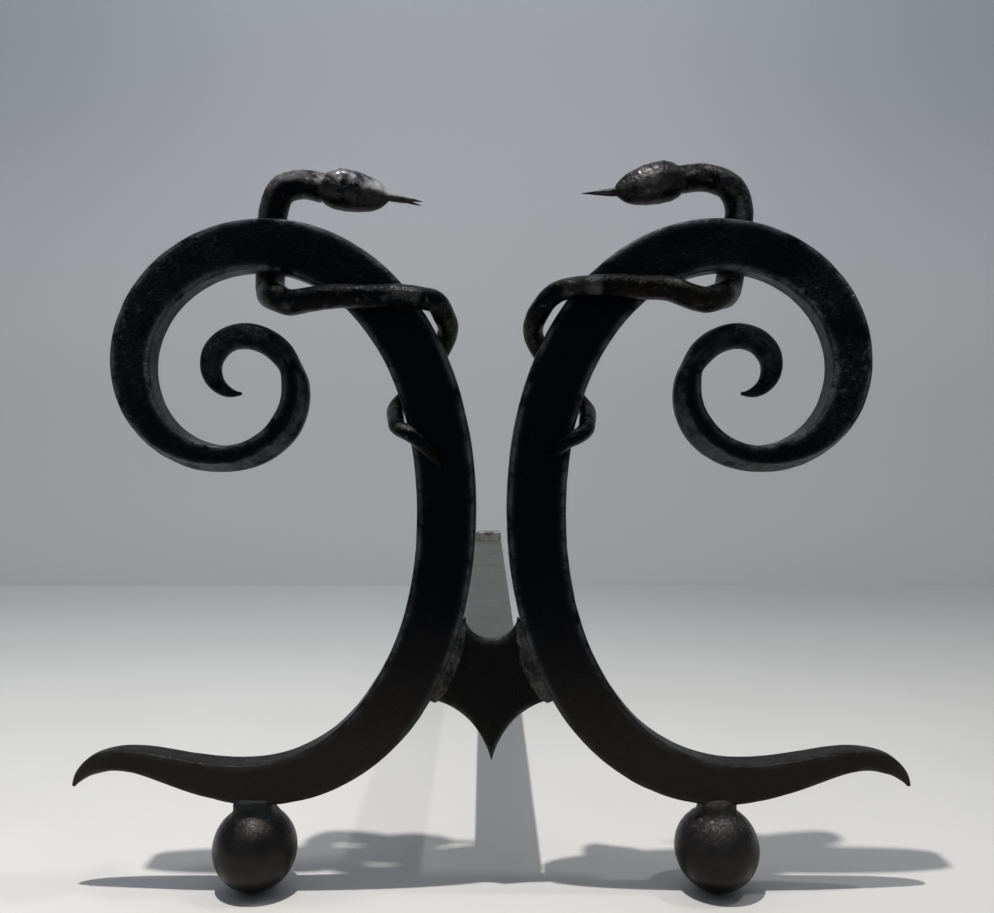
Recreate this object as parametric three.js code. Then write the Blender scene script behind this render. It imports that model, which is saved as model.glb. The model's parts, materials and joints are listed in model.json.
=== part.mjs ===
// Forged iron andiron (fire dog) for an open hearth.
//
// Two scrolls of flat bar stand back to back on ball feet. A serpent of round bar is wound through
// the head of each scroll and rears above it. A web plate ties the scrolls together, and the log
// bar runs back from it to a rear leg, whose top stands proud to stop the logs.
//
// Millimetres. +Z is up, -Y faces the room, and the scrolls mirror each other across X = 0.
// The origin is on the floor, under the middle of the whole piece.

import * as THREE from 'three';

// ---------------------------------------------------------------- sizes

const seam = 0.3; // clearance where one piece bears on another

// Flat bar of the scrolls.
const barWidth = 29.4;
const barThickness = 15;
const barArris = 2; // hammered rounding of the long edges

// Bends of one scroll, starting at the waist, where both bars run upright side by side.
// Each bend has its length along the bar and the radius that the bar has reached at its end. A radius
// below zero bends the other way.
const waistGap = 14.6;
const waistRadius = 240;
const curlBends = [
  [70, 147.5],
  [80, 74.5],
  [80, 61.5],
  [65, 47.6],
  [55, 39.7],
  [45, 30.6],
  [35, 25.9],
  [27, 14.6],
  [31, 12.6],
];
const footBends = [
  [80, 142.7],
  [50, 83],
  [52, 81.1],
  [44, Infinity],
  [32, -29.5],
  [20, -19.4],
];

// How the bar is drawn down towards its ends: distance from the waist, then the share of the bar's
// width and of its thickness that is left, and how far the inner and the outer arris are rounded up,
// from 0, the plain arris, to 1, a round section.
const curlTaper = [
  [0, 1, 1, 0, 0],
  [100, 1, 1, 0, 0],
  [150, 0.935, 1, 0, 0],
  [200, 0.83, 1, 0, 0],
  [250, 0.735, 1, 0, 0],
  [290, 0.635, 1, 0, 0.05],
  [320, 0.52, 1, 0, 0.3],
  [345, 0.455, 1, 0, 0.6],
  [380, 0.5, 0.95, 0.1, 0.7],
  [406, 0.43, 0.85, 0.3, 0.8],
  [413, 0.38, 0.78, 0.5, 0.9],
  [419, 0.44, 0.82, 1, 1],
  [440, 0.45, 0.84, 1, 1],
  [458, 0.43, 0.76, 1, 1],
  [470, 0.34, 0.6, 1, 1],
  [481, 0.2, 0.36, 1, 1],
  [488, 0.04, 0.08, 1, 1],
];
const footTaper = [
  [0, 1, 1, 0, 0],
  [100, 0.96, 1, 0, 0],
  [150, 0.815, 1, 0, 0],
  [190, 0.66, 1, 0, 0],
  [220, 0.5, 0.95, 0, 0],
  [246, 0.37, 0.8, 0.1, 0.1],
  [262, 0.33, 0.6, 0.3, 0.3],
  [273, 0.18, 0.33, 0.7, 0.7],
  [278, 0.05, 0.1, 1, 1],
];

// Ball feet, each under a short collar.
const ballRadius = 20;
const ballGround = 3.2; // radius of the flat that the ball stands on
const ballStations = { left: 182, right: 176.5 }; // distance down the bar from the waist
const collarRadius = 10.8;
const collarNeck = 9.4; // radius at its narrowest
const collarHeight = 5.6; // at the lower-lying foot

// Web plate between the scrolls. Its stations are measured down the bar from the waist.
const webThickness = 6;
const webTopStation = 49;
const webShoulderStation = 89;
const webTipDrop = 30; // how far the point hangs below the shoulders
const scallopCorner = [7.5, 5]; // the scallop's pull: from the middle, and below the shoulders
const notchDepth = 11;
const weldLeg = 5; // fillet welds, along the web
const weldDepth = 3.6; // and along the scroll's edge

// Log bar and rear leg, cut from the same flat bar.
const stockWidth = 29.6;
const stockThickness = 15;
const stockArris = 1.6;
const logBarLength = 606;
const logBarDrop = 20; // from the notch's floor to the top of the log bar
const logStop = 9; // height of the leg's top above the log bar
const bevelLength = 6; // the log bar's front end is bevelled above and below for its welds
const bevelNose = 5; // thickness left at the bevels' end
const legWeld = 5; // fillet weld between log bar and leg

// Serpents. Each winding knot has a station on the scroll, measured up the bar from the waist, the
// quarter turns made round the bar (0 back, 1 inner edge, 2 front, 3 waist edge, 4 back again), the
// room left between body and bar, and the body's radius.
const bearing = 0.15; // room where the body bears on the bar
const quarterRun = 20; // how far a quarter turn counts in the guide curve through the knots
const serpents = {
  left: {
    neckStation: 176,
    neckRadius: 7.8,
    winding: [
      [176, -0.3, bearing, 7.8],
      [176, 0, bearing, 7.8],
      [176, 0.55, 1, 7.6],
      [168, 1, 4, 7.2],
      [153, 1.2, 6, 6.8],
      [138, 1.4, 3, 6.4],
      [126, 1.62, 0.6, 6.1],
      [114, 1.95, bearing, 6],
      [105, 2.3, bearing, 6],
      [98.5, 2.56, 0.6, 5.9],
      [94, 2.8, 1.8, 5.8],
      [88, 3.06, 1.6, 5.7],
      [81, 3.42, 0.4, 5.5],
      [69, 4, bearing, 5.2],
      [60.5, 4.5, bearing, 4.8],
      [51.5, 5, 0.6, 4.4],
      [43.5, 5.42, 0.5, 4.1],
      [37.5, 5.62, bearing, 3.8],
      [30.5, 5.78, bearing, 3.2],
      [25, 5.88, bearing, 2.3],
      [22.5, 5.93, bearing, 1],
    ],
    // Way of the neck above the scroll: towards the mirror plane, up, and behind the bar's middle.
    neck: [[0.6, 8.4, 15.7], [5, 18.4, 15], [16.6, 21.2, 13]],
    crease: [26.8, 18.6, 10],
    headDrop: 8.6, // degrees
    tongueRoll: 35, // degrees
    tongueDrop: 10, // degrees
  },
  right: {
    neckStation: 187.5,
    neckRadius: 7.4,
    winding: [
      [187.5, -0.3, bearing, 7.5],
      [187.5, 0, bearing, 7.4],
      [187, 0.55, 1, 7.2],
      [178, 1, 4.4, 7],
      [163, 1.2, 6.8, 6.8],
      [150, 1.36, 5, 6.6],
      [139.5, 1.54, 1.6, 6.4],
      [130, 1.7, bearing, 6.1],
      [118, 2.06, bearing, 5.8],
      [107.5, 2.42, 0.4, 5.6],
      [98, 2.74, 2, 5.5],
      [88.5, 3.02, 2.6, 5.5],
      [80.5, 3.4, 0.8, 5.4],
      [69, 4, bearing, 5],
      [60, 4.5, bearing, 4.7],
      [51, 5, 1, 4.4],
      [42, 5.38, 0.9, 4.1],
      [36, 5.6, bearing, 3.7],
      [31, 5.73, bearing, 3],
      [28, 5.8, bearing, 1.2],
    ],
    neck: [[-1.2, 10.4, 15.5], [3.2, 21, 14.8], [16.5, 25.8, 12.6]],
    crease: [29.4, 24, 10],
    headDrop: 10.4,
    tongueRoll: 0,
    tongueDrop: 1,
  },
};

// Forged head: distance ahead of the crease, then its half width and its height above and below
// the axis.
const headLength = 35;
const headForm = [
  [0, 7.2, 7.3, 6.9],
  [2.2, 7.8, 9, 8.8],
  [6.5, 9.2, 11.2, 10.2],
  [12.5, 9.9, 11.4, 10.5],
  [19, 9.2, 10.4, 10],
  [25.5, 7.4, 8.5, 8.7],
  [31, 5.2, 6.1, 6.5],
  [33.8, 3.2, 3.8, 4.2],
  [headLength, 1.7, 2, 2.2],
];
const tongueLength = 15.6;
const tongueFork = 7; // length of the two prongs
const tongueWidth = 3.2;
const tongueRoot = 2.7; // thickness at the mouth
const tongueTip = 0.7; // and at the prongs' points

// Faces: the finest turn and the longest run between two rings of a scroll.
const ringTurn = THREE.MathUtils.degToRad(8);
const ringRun = 13;
const serpentRings = 78;
const serpentSides = 12;

// ---------------------------------------------------------------- finishes

const blackIron = { color: 0x1b1c20, roughness: 0.55, metalness: 0.6 };
const wornIron = { color: 0x232327, roughness: 0.42, metalness: 0.7 };
const scaleIron = { color: 0x2a2a2c, roughness: 0.68, metalness: 0.5 };

function piece(name, geometry, finish) {
  const mesh = new THREE.Mesh(geometry, new THREE.MeshStandardMaterial(finish));
  mesh.name = name;
  return mesh;
}

// ---------------------------------------------------------------- solids from rings

// Skins a row of rings, each a loop of as many points, and closes both ends.
function loft(rings) {
  const sides = rings[0].length;
  const positions = rings.flat().flatMap((point) => point.toArray());
  const faces = [];
  for (let ring = 0; ring < rings.length - 1; ring += 1) {
    for (let side = 0; side < sides; side += 1) {
      const here = ring * sides + side;
      const beside = ring * sides + ((side + 1) % sides);
      faces.push(here, beside, here + sides, beside, beside + sides, here + sides);
    }
  }
  const last = (rings.length - 1) * sides;
  for (let side = 1; side < sides - 1; side += 1) {
    faces.push(0, side + 1, side);
    faces.push(last, last + side, last + side + 1);
  }
  const geometry = new THREE.BufferGeometry();
  geometry.setAttribute('position', new THREE.Float32BufferAttribute(positions, 3));
  geometry.setIndex(faces);
  geometry.computeVertexNormals();
  return geometry;
}

// The same solid on the other side of X = 0, with its faces wound to point outwards again.
function mirrored(geometry) {
  const copy = geometry.clone().scale(-1, 1, 1);
  if (!copy.index) copy.setIndex(Array.from({ length: copy.attributes.position.count }, (_, i) => i));
  const index = copy.getIndex();
  for (let face = 0; face < index.count; face += 3) {
    const second = index.getX(face + 1);
    index.setX(face + 1, index.getX(face + 2));
    index.setX(face + 2, second);
  }
  copy.computeVertexNormals();
  return copy;
}

// A solid of revolution about Z from a profile of radius and height.
function turned(profile, sides) {
  const points = profile.map(([radius, height]) => new THREE.Vector2(radius, height));
  return new THREE.LatheGeometry(points, sides).rotateX(Math.PI / 2);
}

// Row-wise reading of a table whose first column rises.
function readTable(table, at) {
  const above = table.findIndex((row) => row[0] >= at);
  if (above === 0) return table[0].slice(1);
  if (above < 0) return table[table.length - 1].slice(1);
  const low = table[above - 1];
  const high = table[above];
  const share = (at - low[0]) / (high[0] - low[0]);
  return low.slice(1).map((value, column) => THREE.MathUtils.lerp(value, high[column + 1], share));
}

// ---------------------------------------------------------------- the left scroll's bar

// Walks along the bends in short steps and turns by the curvature there, which runs evenly from
// the end of one bend to the end of the next.
function walk(bends, heading, turn) {
  const step = 0.5;
  const curvatures = [[0, turn / waistRadius]];
  let total = 0;
  for (const [length, radius] of bends) {
    total += length;
    curvatures.push([total, turn / radius]);
  }
  const trail = [{ x: 0, z: 0, heading }];
  for (let gone = 0; gone < total; gone += step) {
    const { x, z, heading: before } = trail[trail.length - 1];
    const [curvature] = readTable(curvatures, gone + step / 2);
    const middle = before + (curvature * step) / 2;
    trail.push({
      x: x + Math.cos(middle) * step,
      z: z + Math.sin(middle) * step,
      heading: before + curvature * step,
    });
  }
  return { trail, step, total };
}

const curlWalk = walk(curlBends, Math.PI / 2, 1);
const footWalk = walk(footBends, -Math.PI / 2, -1);

// The bar at a station: up from the waist to the curl, and down to the foot where it is negative.
// `across` points to the waist edge, the scroll's outer side.
function barAt(station) {
  const { trail, step } = station < 0 ? footWalk : curlWalk;
  const place = Math.min(Math.abs(station) / step, trail.length - 1.001);
  const low = trail[Math.floor(place)];
  const high = trail[Math.floor(place) + 1];
  const share = place - Math.floor(place);
  const heading = THREE.MathUtils.lerp(low.heading, high.heading, share) + (station < 0 ? Math.PI : 0);
  const [widthLeft, thicknessLeft, innerRound, outerRound] = readTable(
    station < 0 ? footTaper : curlTaper,
    Math.abs(station),
  );
  const width = barWidth * widthLeft;
  const thickness = barThickness * thicknessLeft;
  const fullRound = 0.48 * Math.min(width, thickness);
  const plain = Math.min(barArris, fullRound);
  return {
    centre: new THREE.Vector3(
      THREE.MathUtils.lerp(low.x, high.x, share),
      0,
      THREE.MathUtils.lerp(low.z, high.z, share),
    ),
    across: new THREE.Vector3(Math.sin(heading), 0, -Math.cos(heading)),
    heading,
    width,
    thickness,
    innerArris: THREE.MathUtils.lerp(plain, fullRound, innerRound),
    outerArris: THREE.MathUtils.lerp(plain, fullRound, outerRound),
  };
}

// A point of the bar's neighbourhood: across the face, and back from its middle.
function besideBar(bar, across, back) {
  const point = bar.centre.clone().addScaledVector(bar.across, across);
  point.y = back;
  return point;
}

// Rounded rectangle of the bar's section.
function barRing(bar) {
  const corners = [
    [1, 1, bar.outerArris, 0],
    [-1, 1, bar.innerArris, 1],
    [-1, -1, bar.innerArris, 2],
    [1, -1, bar.outerArris, 3],
  ];
  return corners.flatMap(([acrossSign, backSign, arris, quarter]) =>
    [0, 0.5, 1].map((part) => {
      const angle = ((quarter + part) * Math.PI) / 2;
      return besideBar(
        bar,
        acrossSign * (bar.width / 2 - arris) + arris * Math.cos(angle),
        backSign * (bar.thickness / 2 - arris) + arris * Math.sin(angle),
      );
    }),
  );
}

// Stations for the rings, close together where the bar turns tightly or its section changes.
function ringStations() {
  const changes = [...footTaper.slice(4).map((row) => -row[0]), ...curlTaper.slice(8).map((row) => row[0])];
  const stations = [-footWalk.total];
  let lastHeading = barAt(-footWalk.total).heading;
  for (let station = -footWalk.total + 0.5; station < curlWalk.total - 0.5; station += 0.5) {
    const { heading } = barAt(station);
    const run = station - stations[stations.length - 1];
    const turn = Math.abs(heading - lastHeading);
    if (run >= ringRun || turn >= ringTurn || (run >= 1.5 && changes.includes(station))) {
      stations.push(station);
      lastHeading = heading;
    }
  }
  if (curlWalk.total - stations[stations.length - 1] < 1) stations.pop();
  return [...stations, curlWalk.total];
}

const scrollSolid = loft(ringStations().map((station) => barRing(barAt(station))));

// ---------------------------------------------------------------- where the scroll stands

// Lowest point of the bar's underside over the collar.
function undersideOver(station, reach) {
  const { x } = barAt(-station).centre;
  let lowest = Infinity;
  for (let near = station - 2 * reach; near <= station + 2 * reach; near += 0.5) {
    const bar = barAt(-near);
    const under = besideBar(bar, bar.width / 2, 0);
    if (Math.abs(under.x - x) <= reach) lowest = Math.min(lowest, under.z);
  }
  return lowest;
}

const ballCrown = collarRadius - 1; // radius of the ball's flat under the collar
const ballBase = Math.sqrt(ballRadius ** 2 - ballGround ** 2);
const ballTop = ballBase + Math.sqrt(ballRadius ** 2 - ballCrown ** 2);
const undersides = {
  left: undersideOver(ballStations.left, collarRadius),
  right: undersideOver(ballStations.right, collarRadius),
};
const scrollPlace = new THREE.Vector3(
  -(waistGap + barWidth) / 2,
  0,
  ballTop + collarHeight + 2 * seam - Math.min(undersides.left, undersides.right),
);

// ---------------------------------------------------------------- balls and collars

function ballSolid() {
  const low = -Math.acos(ballGround / ballRadius);
  const high = Math.acos(ballCrown / ballRadius);
  const steps = 13;
  const profile = [[0, 0]];
  for (let step = 0; step <= steps; step += 1) {
    const angle = THREE.MathUtils.lerp(low, high, step / steps);
    profile.push([ballRadius * Math.cos(angle), ballBase + ballRadius * Math.sin(angle)]);
  }
  profile.push([0, ballTop]);
  return turned(profile, 24);
}

function collarSolid(underside) {
  const foot = ballTop + seam;
  const height = scrollPlace.z + underside - seam - foot;
  return turned(
    [
      [0, foot],
      [ballCrown, foot],
      [ballCrown, foot + 0.14 * height],
      [collarNeck, foot + 0.36 * height],
      [collarNeck, foot + 0.6 * height],
      [collarRadius, foot + 0.84 * height],
      [collarRadius - 0.4, foot + height],
      [0, foot + height],
    ],
    24,
  );
}

// ---------------------------------------------------------------- web plate and its welds

// The plate's side, down the scroll's waist edge and clear of it.
function webSide() {
  const points = [];
  const steps = 6;
  for (let step = 0; step <= steps; step += 1) {
    const bar = barAt(-THREE.MathUtils.lerp(webTopStation, webShoulderStation, step / steps));
    points.push(besideBar(bar, bar.width / 2 + seam, 0).add(scrollPlace));
  }
  return points;
}

const webEdge = webSide();
const webTop = webEdge[0];
const webShoulder = webEdge[webEdge.length - 1];
const notchFloor = webTop.z - notchDepth;

function webSolid() {
  // Circle through both upper corners and the notch's floor.
  const notchRadius = (webTop.x ** 2 + notchDepth ** 2) / (2 * notchDepth);
  const notchCentre = notchFloor + notchRadius;
  const rise = Math.asin((notchCentre - webTop.z) / notchRadius);
  const tip = webShoulder.z - webTipDrop;
  const notch = new THREE.Path().absarc(0, notchCentre, notchRadius, -rise, rise - Math.PI, true);
  const scallop = new THREE.QuadraticBezierCurve(
    new THREE.Vector2(webShoulder.x, webShoulder.z),
    new THREE.Vector2(-scallopCorner[0], webShoulder.z - scallopCorner[1]),
    new THREE.Vector2(0, tip),
  );
  const side = webEdge.slice(1, -1).map((point) => new THREE.Vector2(point.x, point.z));
  const lower = scallop.getPoints(10);
  const opposite = (points) => points.map((point) => new THREE.Vector2(-point.x, point.y)).reverse();
  const outline = new THREE.Shape([
    ...notch.getPoints(20),
    ...side,
    ...lower,
    ...opposite(lower).slice(1),
    ...opposite(side),
  ]);
  const plate = new THREE.ExtrudeGeometry(outline, { depth: webThickness, bevelEnabled: false });
  return plate.rotateX(Math.PI / 2).translate(0, webThickness / 2, 0);
}

// Fillet weld down the corner between web and scroll, on the front (-1) or the back (+1).
function weldSolid(face) {
  const steps = 13;
  const rings = [];
  for (let step = 0; step <= steps; step += 1) {
    const part = step / steps;
    const bar = barAt(-THREE.MathUtils.lerp(webShoulderStation - 1, webTopStation + 1, part));
    const runOut = 0.45 + 0.55 * Math.sqrt(Math.sin(Math.PI * (0.03 + 0.94 * part)));
    const ripple = 1 + 0.07 * Math.sin(19 * part);
    const leg = weldLeg * runOut * ripple * (1.15 - 0.3 * part);
    const depth = weldDepth * runOut * ripple;
    const side = bar.width / 2 + seam;
    const top = webThickness / 2 + seam;
    const section = [[0, 0], [leg, 0], [0.66 * leg, 0.52 * depth], [0.32 * leg, 0.86 * depth], [0, depth]];
    const ring = section.map(([out, up]) => besideBar(bar, side + out, face * (top + up)));
    rings.push(face > 0 ? ring : ring.reverse());
  }
  return loft(rings);
}

// ---------------------------------------------------------------- log bar, leg and their welds

const logBarTop = notchFloor - logBarDrop;
const logBarMiddle = logBarTop - stockThickness / 2;
const webBack = webThickness / 2;
const legFront = webBack + seam + logBarLength + seam;

// Straight flat bar along +Z with rounded long edges, given as heights and the thickness there.
function straightBar(rows) {
  const rings = rows.map(([height, thickness]) => {
    const arris = Math.min(stockArris, 0.4 * thickness);
    return barRing({
      centre: new THREE.Vector3(0, 0, height),
      across: new THREE.Vector3(1, 0, 0),
      width: stockWidth,
      thickness,
      innerArris: arris,
      outerArris: arris,
    });
  });
  return loft(rings);
}

function logBarSolid() {
  const bar = straightBar([
    [0, bevelNose],
    [bevelLength, stockThickness],
    [logBarLength, stockThickness],
  ]);
  return bar.rotateX(-Math.PI / 2).translate(0, webBack + seam, logBarMiddle);
}

function legSolid() {
  const leg = straightBar([
    [0, stockThickness],
    [logBarTop + logStop, stockThickness],
  ]);
  return leg.translate(0, legFront + stockThickness / 2, 0);
}

// Weld bead across the log bar. Its section is given as points behind `back` and above the bar's
// middle.
function crossBead(section, back) {
  const length = stockWidth - 2 * stockArris - 1;
  const outline = new THREE.Shape(section.map(([behind, above]) => new THREE.Vector2(behind, above)));
  const bead = new THREE.ExtrudeGeometry(outline, { depth: length, bevelEnabled: false });
  bead.translate(0, 0, -length / 2).rotateX(Math.PI / 2).rotateZ(Math.PI / 2);
  return bead.translate(0, back, logBarMiddle);
}

// Bead that fills the bevel between web and log bar, above (+1) or below (-1), and swells against
// the web. It ends just under the bar's face, so that the face stays clear.
function bevelWeldSolid(up) {
  const half = stockThickness / 2;
  const slope = (half - bevelNose / 2) / bevelLength;
  const root = bevelNose / 2 + seam * Math.hypot(1, slope);
  const run = (half - seam - root) / slope;
  const section = [
    [seam, root],
    [seam + run, half - seam],
    [seam + 0.45 * run, half + 0.9],
    [seam, half + 1.8],
  ];
  return crossBead(section.map(([behind, above]) => [behind, up * above]), webBack);
}

function legWeldSolid() {
  const corner = -stockThickness / 2 - seam;
  const section = [
    [-seam, corner],
    [-seam - legWeld, corner],
    [-seam - 0.4 * legWeld, corner - 0.4 * legWeld],
    [-seam, corner - legWeld],
  ];
  return crossBead(section, legFront);
}

// ---------------------------------------------------------------- serpents

// A point on the way round the bar: the rounded rectangle that lies `standOff` away from its skin.
function windingPoint(station, quarterTurns, standOff) {
  const bar = barAt(station);
  const flatAcross = bar.width / 2 - barArris;
  const flatBack = bar.thickness / 2 - barArris;
  const bend = barArris + standOff;
  const quarter = Math.floor(quarterTurns);
  const odd = Math.abs(quarter % 2) === 1;
  const run = odd ? flatBack : flatAcross;
  const rest = odd ? flatAcross : flatBack;
  const arc = (Math.PI / 2) * bend;
  const gone = (quarterTurns - quarter) * (run + arc + rest);
  const angle = THREE.MathUtils.clamp((gone - run) / bend, 0, Math.PI / 2);
  const along = Math.min(gone, run) + bend * Math.sin(angle);
  const off = rest + bend * Math.cos(angle) - Math.max(0, gone - run - arc);
  const turns = [[-along, off], [-off, -along], [along, -off], [off, along]];
  const [across, back] = turns[((quarter % 4) + 4) % 4];
  return besideBar(bar, across, back);
}

// Way of the serpent from the tail's tip to the crease behind the head, with the radius on it.
function serpentWay(serpent) {
  const knots = serpent.winding.map(
    ([station, turns, room]) => new THREE.Vector3(station, quarterRun * turns, room),
  );
  const guide = new THREE.CatmullRomCurve3(knots);
  const steps = (knots.length - 1) * 4;
  const points = [];
  const radii = [];
  for (let step = 0; step <= steps; step += 1) {
    const knot = step / 4;
    const low = serpent.winding[Math.floor(knot)];
    const high = serpent.winding[Math.min(Math.floor(knot) + 1, knots.length - 1)];
    const radius = THREE.MathUtils.lerp(low[3], high[3], knot - Math.floor(knot));
    const { x: station, y: turns, z: room } = guide.getPoint(step / steps);
    points.push(windingPoint(station, turns / quarterRun, radius + Math.max(room, bearing)));
    radii.push(radius);
  }
  const bar = barAt(serpent.neckStation);
  const top = besideBar(bar, bar.width / 2, 0);
  const rise = ([inward, up, back]) => new THREE.Vector3(top.x + inward, back, top.z + up);
  points.reverse();
  radii.reverse();
  for (const knot of serpent.neck) {
    points.push(rise(knot));
    radii.push(serpent.neckRadius);
  }
  const crease = rise(serpent.crease);
  const drop = THREE.MathUtils.degToRad(serpent.headDrop);
  const forward = new THREE.Vector3(Math.cos(drop), 0, -Math.sin(drop));
  points.push(crease.clone().addScaledVector(forward, -1), crease);
  radii.push(serpent.neckRadius, serpent.neckRadius);
  return { curve: new THREE.CatmullRomCurve3(points), radii, crease, forward };
}

// Loop of points about a centre, wider than high or the other way round.
function ovalRing(centre, side, up, halfWidth, above, below) {
  const ring = [];
  for (let step = 0; step < serpentSides; step += 1) {
    const angle = (step / serpentSides) * 2 * Math.PI;
    const height = Math.sin(angle) * (Math.sin(angle) > 0 ? above : below);
    ring.push(
      centre.clone().addScaledVector(side, Math.cos(angle) * halfWidth).addScaledVector(up, height),
    );
  }
  return ring;
}

function serpentSolid(serpent) {
  const { curve, radii, crease, forward } = serpentWay(serpent);
  const side = new THREE.Vector3(0, 1, 0);
  const headUp = new THREE.Vector3().crossVectors(forward, side).normalize();
  const rings = [];
  // From the crease back to the tail, carrying the head's upright along without twist.
  const up = headUp.clone();
  const before = forward.clone();
  for (let ring = 0; ring <= serpentRings; ring += 1) {
    const place = curve.getUtoTmapping(1 - ring / serpentRings);
    const tangent = curve.getTangent(place);
    up.applyQuaternion(new THREE.Quaternion().setFromUnitVectors(before, tangent));
    before.copy(tangent);
    const knot = place * (radii.length - 1);
    const low = Math.floor(knot);
    const radius = THREE.MathUtils.lerp(radii[low], radii[Math.min(low + 1, radii.length - 1)], knot - low);
    const across = new THREE.Vector3().crossVectors(up, tangent).normalize();
    rings.push(ovalRing(curve.getPoint(place), across, up.clone(), radius, radius, radius));
  }
  rings.reverse();
  rings.pop();
  for (const [ahead, halfWidth, above, below] of headForm) {
    const centre = crease.clone().addScaledVector(forward, ahead);
    const across = new THREE.Vector3().crossVectors(headUp, forward).normalize();
    rings.push(ovalRing(centre, across, headUp, halfWidth, above, below));
  }
  return loft(rings);
}

// Forked tongue, pointing out of the mouth: a blade that is drawn out thinner towards its points.
function tongueSolid(serpent) {
  const { crease, forward } = serpentWay(serpent);
  const half = tongueWidth / 2;
  const fork = tongueLength - tongueFork;
  const edge = [
    [0, half],
    [fork, 0.85 * half],
    [tongueLength - 0.4, 1.05 * half],
    [tongueLength, 0.8 * half],
  ];
  const outline = new THREE.Shape([
    ...edge.map(([ahead, aside]) => new THREE.Vector2(ahead, -aside)),
    new THREE.Vector2(fork, 0),
    ...edge.reverse().map(([ahead, aside]) => new THREE.Vector2(ahead, aside)),
  ]);
  const blade = new THREE.ExtrudeGeometry(outline, { depth: tongueRoot, bevelEnabled: false });
  blade.translate(0, 0, -tongueRoot / 2);
  const { position } = blade.attributes;
  for (let corner = 0; corner < position.count; corner += 1) {
    const left = THREE.MathUtils.lerp(1, tongueTip / tongueRoot, position.getX(corner) / tongueLength);
    position.setZ(corner, position.getZ(corner) * left);
  }
  blade.rotateX(THREE.MathUtils.degToRad(serpent.tongueRoll));
  blade.rotateY(THREE.MathUtils.degToRad(serpent.tongueDrop));
  const root = crease.clone().addScaledVector(forward, headLength + seam + 0.3);
  return blade.translate(root.x, root.y, root.z);
}

// ---------------------------------------------------------------- the whole piece

const andiron = new THREE.Group();

const leftScroll = new THREE.Group();
leftScroll.position.copy(scrollPlace);
leftScroll.add(
  piece('left_scroll', scrollSolid, blackIron),
  piece('left_weld_front', weldSolid(-1), scaleIron),
  piece('left_weld_back', weldSolid(1), scaleIron),
  piece('left_serpent', serpentSolid(serpents.left), wornIron),
  piece('left_tongue', tongueSolid(serpents.left), wornIron),
);

const rightScroll = new THREE.Group();
rightScroll.position.set(-scrollPlace.x, scrollPlace.y, scrollPlace.z);
rightScroll.add(
  piece('right_scroll', mirrored(scrollSolid), blackIron),
  piece('right_weld_front', mirrored(weldSolid(-1)), scaleIron),
  piece('right_weld_back', mirrored(weldSolid(1)), scaleIron),
  piece('right_serpent', mirrored(serpentSolid(serpents.right)), wornIron),
  piece('right_tongue', mirrored(tongueSolid(serpents.right)), wornIron),
);

andiron.add(leftScroll, rightScroll);
andiron.add(piece('web_plate', webSolid(), blackIron));

for (const [name, outwards] of [['left', 1], ['right', -1]]) {
  const collar = piece(`${name}_collar`, collarSolid(undersides[name]), scaleIron);
  const ball = piece(`${name}_ball`, ballSolid(), wornIron);
  const footX = outwards * (scrollPlace.x + barAt(-ballStations[name]).centre.x);
  collar.position.x = footX;
  ball.position.x = footX;
  andiron.add(collar, ball);
}

andiron.add(
  piece('log_bar', logBarSolid(), blackIron),
  piece('rear_leg', legSolid(), blackIron),
  piece('log_bar_weld_upper', bevelWeldSolid(1), scaleIron),
  piece('log_bar_weld_lower', bevelWeldSolid(-1), scaleIron),
  piece('rear_leg_weld', legWeldSolid(), scaleIron),
);

// Stand the piece over the origin.
const bounds = new THREE.Box3().setFromObject(andiron, true);
andiron.position.y = -(bounds.min.y + bounds.max.y) / 2;

export default andiron;
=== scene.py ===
"""Forged iron andiron on a pale floor.

Two scrolls of hammered flat bar stand back to back on ball feet. A serpent of round bar is wound
through the head of each scroll. A web plate ties them together, and a log bar runs back to a leg.

Shapes are worked out in millimetres in the part's own frame (+Z up, -Y to the room) and turned into
metres when a mesh is made.
"""
import json
import logging
import math
from dataclasses import dataclass
from enum import Enum

import bpy
import numpy as np
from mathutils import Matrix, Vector


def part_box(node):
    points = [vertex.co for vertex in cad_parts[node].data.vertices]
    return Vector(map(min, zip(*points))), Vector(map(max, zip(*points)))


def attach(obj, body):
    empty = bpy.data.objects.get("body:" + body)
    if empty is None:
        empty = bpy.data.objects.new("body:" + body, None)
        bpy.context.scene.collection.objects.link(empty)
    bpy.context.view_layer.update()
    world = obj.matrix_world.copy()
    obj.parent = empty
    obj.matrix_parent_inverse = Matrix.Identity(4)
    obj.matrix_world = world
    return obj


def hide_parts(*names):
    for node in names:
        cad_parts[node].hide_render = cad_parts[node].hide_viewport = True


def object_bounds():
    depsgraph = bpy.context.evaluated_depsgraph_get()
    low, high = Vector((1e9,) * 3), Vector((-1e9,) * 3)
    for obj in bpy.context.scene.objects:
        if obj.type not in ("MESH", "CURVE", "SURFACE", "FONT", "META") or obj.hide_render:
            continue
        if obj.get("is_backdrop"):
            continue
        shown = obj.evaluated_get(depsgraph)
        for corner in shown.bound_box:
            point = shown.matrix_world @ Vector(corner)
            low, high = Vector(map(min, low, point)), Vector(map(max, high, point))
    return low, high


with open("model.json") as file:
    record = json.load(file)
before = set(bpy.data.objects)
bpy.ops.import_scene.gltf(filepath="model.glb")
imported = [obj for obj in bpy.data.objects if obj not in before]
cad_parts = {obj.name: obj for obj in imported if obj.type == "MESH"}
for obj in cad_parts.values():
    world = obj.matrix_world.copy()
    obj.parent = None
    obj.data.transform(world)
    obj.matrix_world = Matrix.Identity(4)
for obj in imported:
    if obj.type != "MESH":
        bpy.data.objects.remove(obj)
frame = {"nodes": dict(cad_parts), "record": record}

Array = np.ndarray
MM = 0.001
LOG = logging.getLogger("andiron")
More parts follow.
